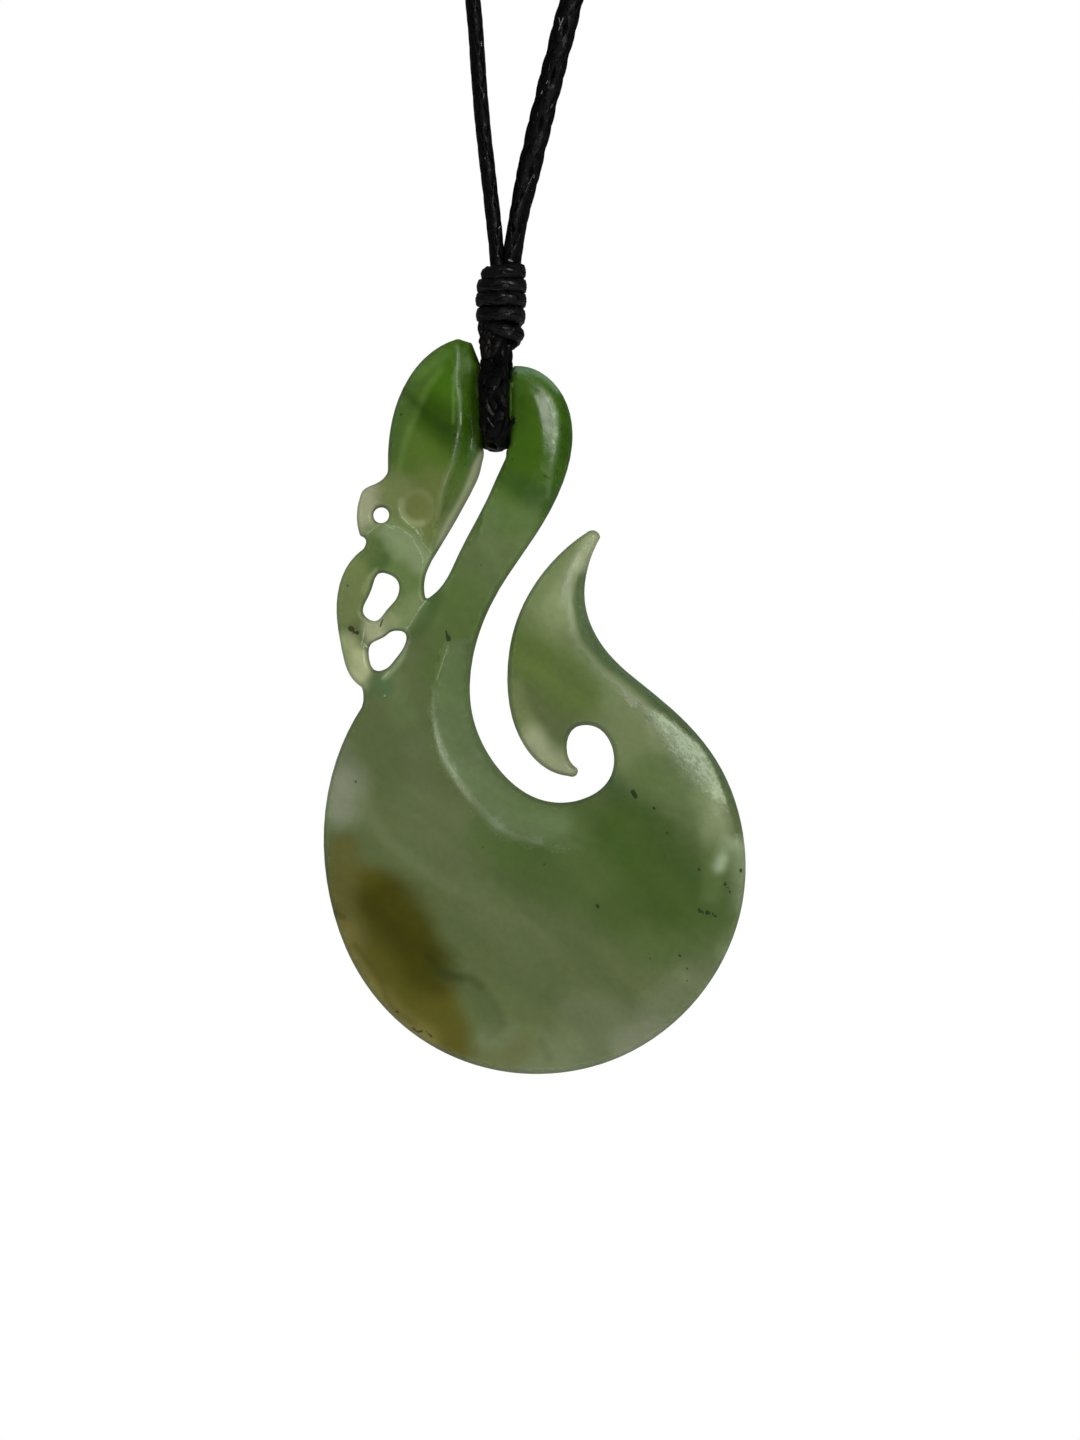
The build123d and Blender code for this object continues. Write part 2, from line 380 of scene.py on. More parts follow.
def braidAlong(line, stations, sideAxis, twist, wide, narrow, braid):
    # yarns of a round braid laid over a core, on a line with a fixed side axis
    centre = alongLine(line, stations)
    ahead = unit(np.gradient(centre, stations, axis=0))
    sideways = np.broadcast_to(np.array(sideAxis, dtype=float), centre.shape)
    across = unit(np.cross(ahead, sideways))
    wideAxis = sideways * np.cos(twist)[:, None] + across * np.sin(twist)[:, None]
    narrowAxis = across * np.cos(twist)[:, None] - sideways * np.sin(twist)[:, None]
    halfWide = (np.zeros(len(stations)) + wide - braid["thick"]) / 2
    halfNarrow = (np.zeros(len(stations)) + narrow - braid["thick"]) / 2
    turnRate = 2 * math.pi / braid["pitch"]
    section = np.linspace(0, 2 * math.pi, braid["sides"], endpoint=False)
    count = braid["yarns"]

    def boxy(wave):
        return np.sign(wave) * np.abs(wave) ** braid.get("boxy", 1.0)

    points, faces, yarnPlace = [], [], []
    total = 0
    for way in (1, -1):
        for number in range(count):
            angle = way * turnRate * stations + number * 2 * math.pi / count
            lift = way * braid["lift"] * np.cos(count * turnRate * stations)
            radius = np.hypot(np.sin(angle) * halfWide, np.cos(angle) * halfNarrow)
            spanned = angle[:, None] + (braid["wide"] / 2 / radius)[:, None] * np.cos(section)[None, :]
            raised = lift[:, None] + braid["thick"] / 2 * np.sin(section)[None, :]
            alongWide = boxy(np.cos(spanned)) * (halfWide[:, None] + raised)
            alongNarrow = boxy(np.sin(spanned)) * (halfNarrow[:, None] + raised)
            rings = ringsAround(centre, wideAxis, narrowAxis, alongWide, alongNarrow)
            points.append(rings.reshape(-1, 3))
            faces += tubeFaces(len(stations), braid["sides"], total)
            total += len(stations) * braid["sides"]
            place = np.zeros((len(stations), braid["sides"], 3))
            place[:, :, 0] = np.cos(section)[None, :] * braid["wide"] / mm / 2
            place[:, :, 1] = stations[:, None] / mm
            place[:, :, 2] = np.sin(section)[None, :] * 0.2 + number * 3.7 + way * 11.3
            yarnPlace.append(place.reshape(-1, 3))
    coreSides, coreShare = 12, 0.99
    coreSection = np.linspace(0, 2 * math.pi, coreSides, endpoint=False)
    alongWide = halfWide[:, None] * boxy(np.cos(coreSection))[None, :] * coreShare
    alongNarrow = halfNarrow[:, None] * boxy(np.sin(coreSection))[None, :] * coreShare
    points.append(ringsAround(centre, wideAxis, narrowAxis, alongWide, alongNarrow).reshape(-1, 3))
    faces += tubeFaces(len(stations), coreSides, total)
    place = np.zeros((len(stations), coreSides, 3))
    place[:, :, 0] = coreSection[None, :]
    place[:, :, 1] = stations[:, None] / mm
    yarnPlace.append(place.reshape(-1, 3))
    return np.concatenate(points), faces, np.concatenate(yarnPlace)


def braidPiece(name, material, braid, line, stations, sideAxis, wide, narrow, twist=0.0):
    points, faces, yarn = braidAlong(line, stations, sideAxis, twist + 0 * stations, wide, narrow, braid)
    print(name, round(lineLength(line), 4), "m", len(faces), "faces")
    return meshPiece(name, points, faces, material, "cord", {"yarn": yarn})


neckLoop = {
    "start": (-0.002, 0.0, -0.2892),  # middle of the knot's top
    "route": [  # mm across and up from the start
        (-0.3, -0.4), (-0.50, 2.0), (-0.98, 6.2), (-1.76, 13.0), (-2.36, 23.0), (-6.0, 46.0),
        (-16.0, 93.0), (-31.0, 143.0), (-47.0, 193.0), (-56.5, 234.0), (-52.5, 261.0), (-36.5, 281.5),
        (-12.0, 290.0), (16.0, 290.0), (40.0, 282.0), (56.0, 262.0), (60.0, 236.0), (52.0, 196.0),
        (38.5, 144.0), (24.0, 92.0), (11.5, 45.0), (6.2, 23.5), (3.75, 14.0), (1.87, 6.2),
        (1.02, 2.0), (0.72, -0.4),
    ],
    "wide": 0.00203,
    "narrow": 0.00129,
    "fineStep": 0.00017,
    "coarseStep": 0.00062,
    "fineReach": 0.030,
    "sway": 0.10,  # radians that the strand turns to and fro
    "swayLength": 0.021,
    "rightTwist": 0.62,  # radians that the right strand is turned at the knot
    "rightTurn": 0.9,  # and turns more above it
}
neckBraid = {"yarns": 4, "pitch": 0.0160, "wide": 0.00125, "thick": 0.00017, "lift": 0.00001, "sides": 6}
startX, startY, startZ = neckLoop["start"]
neckLine = splineLine([(startX + across * mm, startY, startZ + up * mm) for across, up in neckLoop["route"]])
neckLength = lineLength(neckLine)
fine, coarse, reach = neckLoop["fineStep"], neckLoop["coarseStep"], neckLoop["fineReach"]
stations = np.concatenate(
    [
        np.arange(0, reach, fine),
        np.arange(reach, neckLength - reach, coarse),
        np.arange(neckLength - reach, neckLength, fine),
        [neckLength],
    ]
)
fromRightEnd = neckLength - stations
neckTwist = neckLoop["sway"] * np.sin(stations / neckLoop["swayLength"])
rightTwist = neckLoop["rightTwist"] + neckLoop["rightTurn"] * smoothStep((fromRightEnd - 0.003) / 0.0085)
neckTwist = neckTwist + rightTwist * (1 - smoothStep((fromRightEnd - 0.05) / 0.2))
wide, narrow = neckLoop["wide"], neckLoop["narrow"]
neckCord = braidPiece(
    "neckBraid", braidMaterial, neckBraid, neckLine, stations, (0, 1, 0), wide, narrow, neckTwist
)
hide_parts("neck_cord")

bight = {
    "route": [  # mm; the strand at the back comes out of the knot further right
        (-2.56, -0.55, -292.9),
        (-2.62, -0.80, -296.75),
        (-2.66, -2.6, -299.3),
        (-2.52, -2.6, -303.86),
        (-2.50, 2.6, -303.86),
        (-2.44, 2.6, -299.75),
        (-2.14, 0.95, -296.9),
        (-2.14, 0.60, -292.9),
    ],
    "wide": 0.00250,
    "bendWide": 0.00214,  # under the bridge of stone
    "bendReach": 0.0024,
    "bendFade": 0.0010,
    "throatWide": 0.00212,  # where it comes out of the knot
    "throatHidden": 0.0034,
    "throatReach": 0.0036,
    "narrow": 0.00130,
    "step": 0.00012,
}
bightBraid = {
    "yarns": 4,
    "pitch": 0.0134,
    "wide": 0.00100,
    "thick": 0.00042,
    "lift": 0.00009,
    "sides": 12,
    "boxy": 0.76,  # under 1 the section is squarer than an ellipse
}
bightLine = splineLine(np.array(bight["route"]) * mm, 40)
bightLength = lineLength(bightLine)
stations = np.arange(0, bightLength, bight["step"])
fromKnot = np.minimum(stations, bightLength - stations)
bightWide = bight["throatWide"] + (bight["wide"] - bight["throatWide"]) * smoothStep(
    (fromKnot - bight["throatHidden"]) / bight["throatReach"]
)
fromBend = np.abs(stations - bightLength / 2)
underBridge = 1 - smoothStep((fromBend - bight["bendReach"]) / bight["bendFade"])
bightWide = bightWide + (bight["bendWide"] - bightWide) * underBridge
bightCord = braidPiece(
    "bightBraid", bightMaterial, bightBraid, bightLine, stations, (1, 0, 0), bightWide, bight["narrow"]
)
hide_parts("cord_bight")

# whipping: one flattened braid wound down over the two strands
knot = {
    "middle": (-2.0, -0.05, -289.35),  # mm, at the knot's top
    "turns": [  # height under the knot's top, half width to the left and to the right, slant
        {"down": 0.64, "left": 1.32, "right": 1.60, "slant": 0.16},
        {"down": 1.70, "left": 1.68, "right": 1.66, "slant": 0.04},
        {"down": 2.80, "left": 1.78, "right": 1.64, "slant": 0.02},
        {"down": 4.06, "left": 1.74, "right": 1.56, "slant": 0.00},
        {"down": 5.40, "left": 1.60, "right": 1.58, "slant": -0.28},
    ],
    "tail": [
        (-0.62, -0.30, -295.02),
        (-0.80, 0.25, -295.35),
        (-1.25, 0.55, -295.75),
        (-1.75, 0.45, -296.0),
    ],
    "depth": 1.35,
    "slide": 0.72,  # share of a turn after which it goes down to the next
    "tuck": 0.70,  # share of the last turn after which it tucks under at the back
    "wide": 0.00128,
    "narrow": 0.00086,
    "step": 0.00013,
}
knotBraid = {"yarns": 4, "pitch": 0.0098, "wide": 0.00080, "thick": 0.00026, "lift": 0.00004, "sides": 8}
winding = []
aroundCount = 16  # places on one turn
lastTurn = len(knot["turns"]) - 1
for number, turn in enumerate(knot["turns"]):
    after = knot["turns"][min(number + 1, lastTurn)]
    for step in range(aroundCount):
        angle = 2 * math.pi * step / aroundCount  # starts at the back, comes round by the left
        share = step / aroundCount
        fall = smoothStep((share - knot["slide"]) / 0.28) if number < lastTurn else 0.0
        half = turn["left"] if math.sin(angle) > 0 else turn["right"]
        down = turn["down"] + (after["down"] - turn["down"]) * fall
        if number == lastTurn and share > knot["tuck"]:
            continue
        winding.append(
            (
                (knot["middle"][0] - math.sin(angle) * half) * mm,
                (knot["middle"][1] + math.cos(angle) * knot["depth"]) * mm,
                (knot["middle"][2] - down - turn["slant"] * math.sin(angle)) * mm,
            )
        )
winding += [(x * mm, y * mm, z * mm) for x, y, z in knot["tail"]]
windingLine = splineLine(winding, 12)
stations = np.arange(0, lineLength(windingLine), knot["step"])
knotPiece = braidPiece(
    "whippingKnot", knotMaterial, knotBraid, windingLine, stations, (0, 0, 1), knot["wide"], knot["narrow"]
)
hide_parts("wrap_knot")

# cut end of the whipping cord, pressed flat in front of the bight
wrapEnd = {
    "route": [(-3.26, -1.42, -294.9), (-3.31, -1.62, -295.6), (-3.24, -1.86, -296.4), (-3.12, -2.02, -297.2)],
    "wide": 0.00112,
    "narrow": 0.00062,
    "step": 0.00010,
    "taper": 0.35,
}
endLine = splineLine(np.array(wrapEnd["route"]) * mm, 30)
stations = np.arange(0, lineLength(endLine), wrapEnd["step"])
endTaper = 1 - wrapEnd["taper"] * smoothStep((stations / stations[-1] - 0.7) / 0.3)
endBraid = {"yarns": 3, "pitch": 0.0048, "wide": 0.00062, "thick": 0.00022, "lift": 0.00004, "sides": 8}
wide, narrow = wrapEnd["wide"] * endTaper, wrapEnd["narrow"] * endTaper
wrapEndPiece = braidPiece("whippingEnd", frayedMaterial, endBraid, endLine, stations, (1, 0, 0), wide, narrow)

cutThreads = [  # route in mm, radius in mm at its two ends
    ([(-1.50, -2.55, -302.95), (-1.22, -3.00, -302.50), (-0.93, -3.12, -301.97)], 0.19, 0.12),
    ([(-1.40, -2.60, -302.75), (-1.14, -3.00, -302.30), (-1.00, -3.08, -301.80)], 0.13, 0.04),
    ([(-1.50, -2.50, -302.95), (-1.20, -3.00, -302.62), (-0.86, -3.15, -302.30)], 0.12, 0.04),
    ([(-2.02, -0.72, -288.7), (-1.72, -1.15, -289.0), (-1.35, -1.10, -288.85)], 0.10, 0.05),
]
looseFibres = [
    ([(-3.12, -3.36, -302.0), (-2.98, -3.40, -302.25), (-2.80, -3.40, -302.5), (-2.62, -3.34, -302.75)],
     0.018, 0.012),
    ([(-2.52, -3.36, -299.45), (-2.58, -3.40, -299.6), (-2.64, -3.36, -299.75)], 0.022, 0.016),
    ([(2.62, -0.72, -270.3), (2.80, -0.76, -269.8), (3.02, -0.70, -269.2)], 0.02, 0.03),
    ([(2.78, -0.74, -269.9), (2.74, -0.76, -269.5), (2.62, -0.73, -269.2)], 0.03, 0.02),
    ([(1.62, -0.74, -274.62), (1.70, -0.78, -274.50), (1.72, -0.74, -274.38)], 0.035, 0.03),
    ([(1.98, -0.72, -276.62), (2.08, -0.76, -276.45), (2.14, -0.70, -276.26)], 0.03, 0.02),
    ([(1.20, -0.70, -275.45), (1.28, -0.74, -275.30), (1.30, -0.70, -275.18)], 0.02, 0.03),
    ([(0.60, -0.72, -282.30), (0.66, -0.76, -282.16), (0.62, -0.72, -282.02)], 0.04, 0.03),
    ([(0.14, -0.72, -282.80), (0.24, -0.76, -282.68), (0.34, -0.72, -282.62)], 0.03, 0.02),
    ([(-3.66, -0.98, -271.60), (-3.64, -1.03, -271.40), (-3.66, -0.99, -271.20)], 0.03, 0.02),
    ([(-3.48, -0.98, -275.80), (-3.44, -1.03, -275.60), (-3.46, -0.99, -275.40)], 0.03, 0.03),
    ([(-2.26, -0.98, -286.46), (-2.20, -1.03, -286.34), (-2.12, -0.98, -286.26)], 0.03, 0.04),
    ([(-1.42, -1.02, -289.0), (-1.30, -1.14, -289.12), (-1.12, -1.05, -289.1)], 0.10, 0.07),
]


def threadPiece(name, threads, material):
    points, faces = [], []
    total = 0
    sides = 8
    section = np.linspace(0, 2 * math.pi, sides, endpoint=False)
    for route, fromRadius, toRadius in threads:
        line = splineLine(np.array(route) * mm, 8)
        ahead = unit(np.gradient(line, axis=0))
        side = unit(np.cross(ahead, (0.3, 1.0, 0.2)))
        other = np.cross(ahead, side)
        radius = (np.linspace(fromRadius, toRadius, len(line)) * mm)[:, None]
        alongSide, alongOther = radius * np.cos(section)[None, :], radius * np.sin(section)[None, :]
        rings = ringsAround(line, side, other, alongSide, alongOther)
        points.append(rings.reshape(-1, 3))
        faces += tubeFaces(len(line), sides, total)
        total += len(line) * sides
    points = np.concatenate(points)
    piece = meshPiece(name, points, faces, material, "cord", {"yarn": points / mm})


threadPiece("cutThreads", cutThreads, braidMaterial)
threadPiece("paleFibres", looseFibres, meltMaterial)
print("ends and threads")


def curveThrough(points, steps=8):
    # a smooth line through a few places
    points = np.array(points, dtype=float)
    ends = np.vstack([2 * points[0] - points[1], points, 2 * points[-1] - points[-2]])
    found = []
    for a, b, c, d in zip(ends, ends[1:], ends[2:], ends[3:]):
        for share in np.linspace(0, 1, steps, endpoint=False):
            found.append(
                0.5
                * (
                    2 * b
                    + (c - a) * share
                    + (2 * a - 5 * b + 4 * c - d) * share**2
                    + (3 * b - 3 * c + d - a) * share**3
                )
            )
    found.append(points[-1])
    return np.array(found)


def fromLine(places, line):
    # distance, share of the way along, and side of a line for many places
    line = curveThrough(line)
    spans = np.diff(line, axis=0)
    lengths = np.linalg.norm(spans, axis=1)
    starts = np.concatenate([[0], np.cumsum(lengths)])
    best = np.full(len(places), 1e9)
    share = np.zeros(len(places))
    side = np.zeros(len(places))
    for index, (start, span, length) in enumerate(zip(line[:-1], spans, lengths)):
        offset = places - start
        along = np.clip(offset @ span / length**2, 0, 1)
        distance = np.linalg.norm(offset - along[:, None] * span, axis=1)
        nearer = distance < best
        best = np.where(nearer, distance, best)
        share = np.where(nearer, (starts[index] + along * length) / starts[-1], share)
        side = np.where(nearer, np.sign(span[0] * offset[:, 1] - span[1] * offset[:, 0]), side)
    return best, share, side


# mm on the stone: across from its left side, up from its bottom
stone = {
    "voxel": 0.206,
    "quickVoxel": 0.3,
    "rim": 0.45,
    "rimPower": 2.2,
    "pillow": 0.07,
    "pillowWidth": 1.8,
    "crestPull": 0.09,  # how near a crest a place has to be to be moved onto it
    "crestDepth": 0.35,
}
crown = {  # up, half thickness in the middle and at the sides of the section
    "up": [-2.4, 8.4, 19.2, 31.2, 44.4, 54.0, 62.4],
    "full": [1.40, 2.32, 2.70, 2.48, 2.16, 1.94, 1.51],
    "edge": [0.81, 0.97, 1.13, 1.19, 1.24, 1.24, 1.13],
    "left": [0.0, -2.06, -2.06, -1.38, -0.69, 0.0, 0.69],
    "right": [34.4, 36.5, 36.5, 33.7, 28.2, 26.1, 25.5],
}


def crownRow(key, up):
    rows = np.arange(-6.0, 68.0, 0.25)
    plain = np.interp(rows, crown["up"], crown[key])
    kernel = np.exp(-0.5 * (np.arange(-24, 25) / 9.0) ** 2)
    padded = np.concatenate([np.full(24, plain[0]), plain, np.full(24, plain[-1])])
    return np.interp(up, rows, np.convolve(padded, kernel / kernel.sum(), mode="valid"))


def crownHeight(places):
    up = places[:, 1]
    left, right = crownRow("left", up), crownRow("right", up)
    share = (places[:, 0] - (left + right) / 2) / ((right - left) / 2)
    edge, full = crownRow("edge", up), crownRow("full", up)
    return edge + (full - edge) * (1 - np.clip(share, -1, 1) ** 2)


# crest, the side it falls to, how round the crest is, how far and how deep it goes, the shares of the
# crest over which it fades at its start and end, its tone (a painted reflection on the hook bevel,
# painted shade on the barb and shank bevels), how frosted, with a painted highlight, and how dull the crest
# is
bevels = [
    {  # the wide bevel inside the bend of the hook; its lighter tone is a painted reflection
        "crest": [
            (10.2, 36.0), (9.3, 32.2), (9.0, 30.5), (9.0, 28.9), (9.7, 25.9), (11.0, 23.7),
            (12.8, 21.5), (14.3, 20.0), (16.6, 19.0), (19.6, 18.4), (22.6, 18.9),
        ],
        "side": 1, "round": 0.05, "reach": 4.3, "drop": 0.72, "power": 1.0, "start": 0.06, "end": 0.45,
        "tone": (99, 118, 77), "tint": 0.6, "frostAndGlint": 0.3, "frostAndGlintFrom": 0.12, "frostAndGlintTo": 0.62,
        "matt": [(0.0, 0.3), (0.3, 0.4), (0.5, 1.0), (1.0, 1.0)],
    },
    {  # the narrow bevel round the outside of the barb; its darker tone is painted shade
        "crest": [
            (22.3, 43.6), (21.2, 41.9), (20.6, 40.6), (20.3, 39.3), (20.3, 37.9), (20.8, 35.7),
            (21.8, 34.4), (23.0, 33.0), (24.6, 31.8), (25.9, 30.75), (27.0, 29.75), (28.2, 28.9),
            (29.6, 27.75), (30.85, 26.5), (31.7, 25.1), (32.25, 23.85), (32.8, 22.6), (33.3, 20.5),
            (33.4, 18.4),
        ],
        "side": 1, "round": 0.05, "reach": 2.2, "drop": 0.60, "power": 1.0, "start": 0.05, "end": 0.22,
        "tone": (72, 94, 58), "tint": 0.75, "frostAndGlint": 0.08, "frostAndGlintFrom": 0.0, "frostAndGlintTo": 0.2,
        "matt": [(0.0, 0.5), (0.22, 0.7), (0.3, 1.2), (0.52, 1.2), (0.6, 0.3), (1.0, 0.3)],
    },
    {  # the flat beside the ridge of the head
        "crest": [
            (10.9, 60.5), (11.0, 58.6), (10.9, 56.8), (11.2, 55.0), (11.2, 53.0), (11.0, 52.0),
            (10.6, 49.9), (10.1, 48.7), (9.7, 47.4), (9.4, 45.7), (8.8, 43.2),
        ],
        "side": 1, "round": 0.05, "reach": 3.6, "drop": 0.52, "power": 1.0, "start": 0.06, "end": 0.25,
        "tone": (53, 85, 6), "tint": 0.6, "frostAndGlint": 0.05, "frostAndGlintFrom": 0.1, "frostAndGlintTo": 0.75,
        "matt": [(0.0, 0.6), (0.34, 0.6), (0.40, 0.3), (0.50, 0.3), (0.56, 0.7), (1.0, 0.7)],
    },
    {  # the soft facet at the back of the head
        "crest": [(10.3, 58.9), (9.3, 56.6), (8.1, 55.0), (7.1, 53.0), (6.5, 51.6), (6.2, 49.9), (6.0, 48.2)],
        "side": -1, "round": 1.2, "reach": 4.5, "drop": 0.14, "power": 1.1, "start": 0.05, "end": 0.25,
        "tone": (72, 96, 34), "tint": 0.3, "frostAndGlint": 0.0, "frostAndGlintFrom": 0.1, "frostAndGlintTo": 0.9,
        "matt": [(0.0, 0.0), (1.0, 0.0)],
    },
    {  # the bevel over the top of the shank; its darker tone is painted shade
        "crest": [
            (15.0, 57.2), (16.2, 57.0), (17.6, 56.3), (18.6, 55.1), (19.1, 53.5), (19.1, 51.2),
            (18.65, 49.4), (18.5, 48.2), (18.6, 47.0), (18.75, 45.8),
        ],
        "side": 1, "shoulder": 0.15, "shoulderWidth": 0.9, "shoulderFade": (0.42, 0.86), "round": 0.05,
        "reach": 2.6, "drop": 0.56, "power": 1.0, "start": 0.03, "end": 0.03,
        "tone": (50, 85, 16), "tint": 0.6, "frostAndGlint": 0.2, "frostAndGlintFrom": 0.0, "frostAndGlintTo": 0.9,
        "matt": [(0.0, 0.4), (0.65, 0.4), (0.8, 0.8), (1.0, 0.8)],
    },
    {  # the strip along the slot under the head
        "crest": [(12.7, 51.6), (12.3, 50.4), (11.5, 48.3), (10.75, 46.7), (9.7, 44.8), (8.7, 42.2)],
        "side": 1, "round": 0.15, "reach": 1.4, "drop": 0.35, "power": 0.9, "start": 0.08, "end": 0.20,
        "tone": (150, 156, 126), "tint": 0.85, "frostAndGlint": 0.1, "frostAndGlintFrom": 0.1, "frostAndGlintTo": 0.9,
        "matt": [(0.0, 0.8), (1.0, 0.8)],
    },
]
grooves = [
    {"line": [(12.0, 53.6), (12.1, 51.7), (12.0, 50.2)], "width": 0.22, "depth": 0.05, "frostAndGlint": 0.2},
    {
        "line": [
            (3.5, 44.0), (4.65, 44.85), (5.4, 44.67), (6.28, 44.49),
            (7.19, 43.85), (7.91, 42.58), (8.18, 41.95),
        ],
        "width": 0.3,
        "depth": 0.05,
        "frostAndGlint": 0.1,
    },
    {"line": [(8.4, 38.6), (7.9, 37.95), (6.7, 36.15)], "width": 0.30, "depth": 0.14, "frostAndGlint": 0.1},
]
eyeRing = {"centre": (7.72, 46.22), "radius": 1.2, "width": 0.3, "depth": 0.07}
tapers = [
    {"centre": (22.3, 44.2), "reach": 10.0, "least": 0.82},
    {"centre": (20.6, 24.2), "reach": 6.5, "least": 0.62},
    {"centre": (3.0, 45.6), "reach": 3.2, "least": 0.72},
    {"centre": (2.4, 37.0), "reach": 6.5, "least": 0.78},
    {"centre": (11.0, 60.0), "reach": 4.0, "least": 0.82},
]
rimZones = [
    {"centre": (4.5, 38.5), "reach": 10.0, "rim": 0.22},
    {"centre": (4.6, 45.6), "reach": 4.0, "rim": 0.22},
    {"centre": (14.1, 54.4), "reach": 5.0, "rim": 0.25},
    {"centre": (20.6, 24.2), "reach": 4.0, "rim": 0.4},
    {"centre": (16.0, 4.0), "reach": 18.0, "rim": 0.8},
]
slotLips = [
    {"wall": 12.79, "move": 0.20, "from": 49.6, "rise": 1.2, "reach": 1.1, "upTo": 53.6},
    {"wall": 15.36, "move": -0.30, "from": 50.1, "rise": 0.8, "reach": 1.1, "upTo": 53.6},
    {"wall": 15.36, "move": -0.20, "from": 52.4, "rise": 1.0, "reach": 1.1, "upTo": 58.0},
]


def pullOnto(places, line, reach):
    # places close to a line are moved onto it, so that a crest comes out sharp
    line = curveThrough(line)
    best = np.full(len(places), reach)
    pulled = places.copy()
    for start, span in zip(line[:-1], np.diff(line, axis=0)):
        along = np.clip((places - start) @ span / (span @ span), 0, 1)
        foot = start + along[:, None] * span
        distance = np.linalg.norm(places - foot, axis=1)
        nearer = distance < best
        pulled[nearer] = foot[nearer]
        best = np.where(nearer, distance, best)
    return pulled


def bevelBand(places, depth, bevel):
    # how far down the bevel each place is, and how near its crest
    distance, share, side = fromLine(places, bevel["crest"])
    past = np.where(side == bevel["side"], distance, -distance)
    fade = smoothStep(share / bevel["start"]) * smoothStep((1 - share) / bevel["end"])
    down = 0.5 * (past + np.sqrt(past**2 + bevel["round"] ** 2))
    reach = bevel["reach"]
    within = np.where(past > 0, distance < reach, smoothStep((reach - distance) / reach))
    slope = within * down / np.maximum(down + depth, 1e-3)
    return fade, slope, np.where(past > 0, distance, -distance), share


def faceHeight(places, depth):
    height = crownHeight(places)
    for taper in tapers:
        far = smoothStep(np.linalg.norm(places - taper["centre"], axis=1) / taper["reach"])
        height = height * (taper["least"] + (1 - taper["least"]) * far)
    for bevel in bevels:
        fade, slope, past, share = bevelBand(places, depth, bevel)
        height = height * (1 - bevel["drop"] * fade * slope ** bevel["power"])
        if "shoulder" in bevel:  # the face rounds over before the crest
            inside = np.minimum(past, 0)
            fadeFrom, fadeTo = bevel["shoulderFade"]
            fade = fade * (1 - smoothStep((share - fadeFrom) / (fadeTo - fadeFrom)))
            height = height * (1 - bevel["shoulder"] * fade * bell(inside, bevel["shoulderWidth"]))
    height = height * (1 - stone["pillow"] * bell(depth, stone["pillowWidth"]))
    for groove in grooves:
        distance, share, side = fromLine(places, groove["line"])
        fade = smoothStep(share * 5) * smoothStep((1 - share) * 5)
        height = height - groove["depth"] * fade * bell(distance, groove["width"])
    fromEye = np.linalg.norm(places - eyeRing["centre"], axis=1)
    height = height - eyeRing["depth"] * bell(fromEye - eyeRing["radius"], eyeRing["width"])
    across, up = places[:, 0], places[:, 1]
    ripple = 0.018 * np.sin(across * 0.9 + up * 0.55) + 0.014 * np.sin(across * 1.7 - up * 1.1 + 1.0)
    return height + ripple


cad = bmesh.new()
cad.from_mesh(nodes["pendant"].data)
bmesh.ops.remove_doubles(cad, verts=cad.verts, dist=1e-6)
for vertex in cad.verts:
    vertex.co = (vertex.co.x / mm - stoneLeft, vertex.co.y / mm, vertex.co.z / mm - stoneBottom)
for vertex in cad.verts:  # the eye's groove is cut again below, rounder
    place = np.array([[vertex.co.x, vertex.co.z]])
    if math.dist(place[0], eyeRing["centre"]) < 1.6 and abs(vertex.co.y) > 1.0:
        vertex.co.y = math.copysign(crownHeight(place)[0], vertex.co.y)
cut = cad.copy()
found = bmesh.ops.bisect_plane(
    cut, geom=cut.verts[:] + cut.edges[:] + cut.faces[:], plane_co=(0, 0.013, 0), plane_no=(0, 1, 0)
)
bridge = {  # its sides are the slot's walls; below and above take in its rounded edges
    "left": 12.79,
    "right": 15.36,
    "bottom": 52.6,
    "top": 56.6,
    "below": 52.3,
    "above": 56.9,
    "margin": 0.02,
}
walls = []
for edge in found["geom_cut"]:
    if not isinstance(edge, bmesh.types.BMEdge):
        continue
    (a, b), normal = [vertex.co for vertex in edge.verts], edge.link_faces[0].normal
    between = bridge["left"] < (a.x + b.x) / 2 < bridge["right"]
    if not (abs(normal.z) > 0.9 and between and bridge["below"] < a.z < bridge["above"]):
        walls.append((a.x, a.z, b.x, b.z, normal.x, normal.z))
# the slot's two walls go on past the bridge
for side, facing in (("left", 1.0), ("right", -1.0)):
    walls.append((bridge[side], bridge["bottom"], bridge[side], bridge["top"], facing, 0.0))
cut.free()
corners, strips = [], []
for x0, z0, x1, z1, _, _ in walls:
    strips.append(tuple(range(len(corners), len(corners) + 4)))
    corners += [(x0, -9, z0), (x1, -9, z1), (x1, 9, z1), (x0, 9, z0)]
wallTree = BVHTree.FromPolygons(corners, strips)

rough = bpy.data.meshes.new("roughStone")
cad.to_mesh(rough)
cad.free()
roughPiece = bpy.data.objects.new("roughStone", rough)
collection.objects.link(roughPiece)
remesh = roughPiece.modifiers.new("even", "REMESH")
remesh.mode = "VOXEL"
remesh.voxel_size = stone["voxel"]
even = bpy.data.meshes.new_from_object(roughPiece.evaluated_get(bpy.context.evaluated_depsgraph_get()))
bpy.data.objects.remove(roughPiece)
count = len(even.vertices)
points = np.empty(count * 3)
even.vertices.foreach_get("co", points)
points = points.reshape(-1, 3)
faces = [tuple(polygon.vertices) for polygon in even.polygons]
bpy.data.meshes.remove(even)
print("stone evened out,", count, "points")

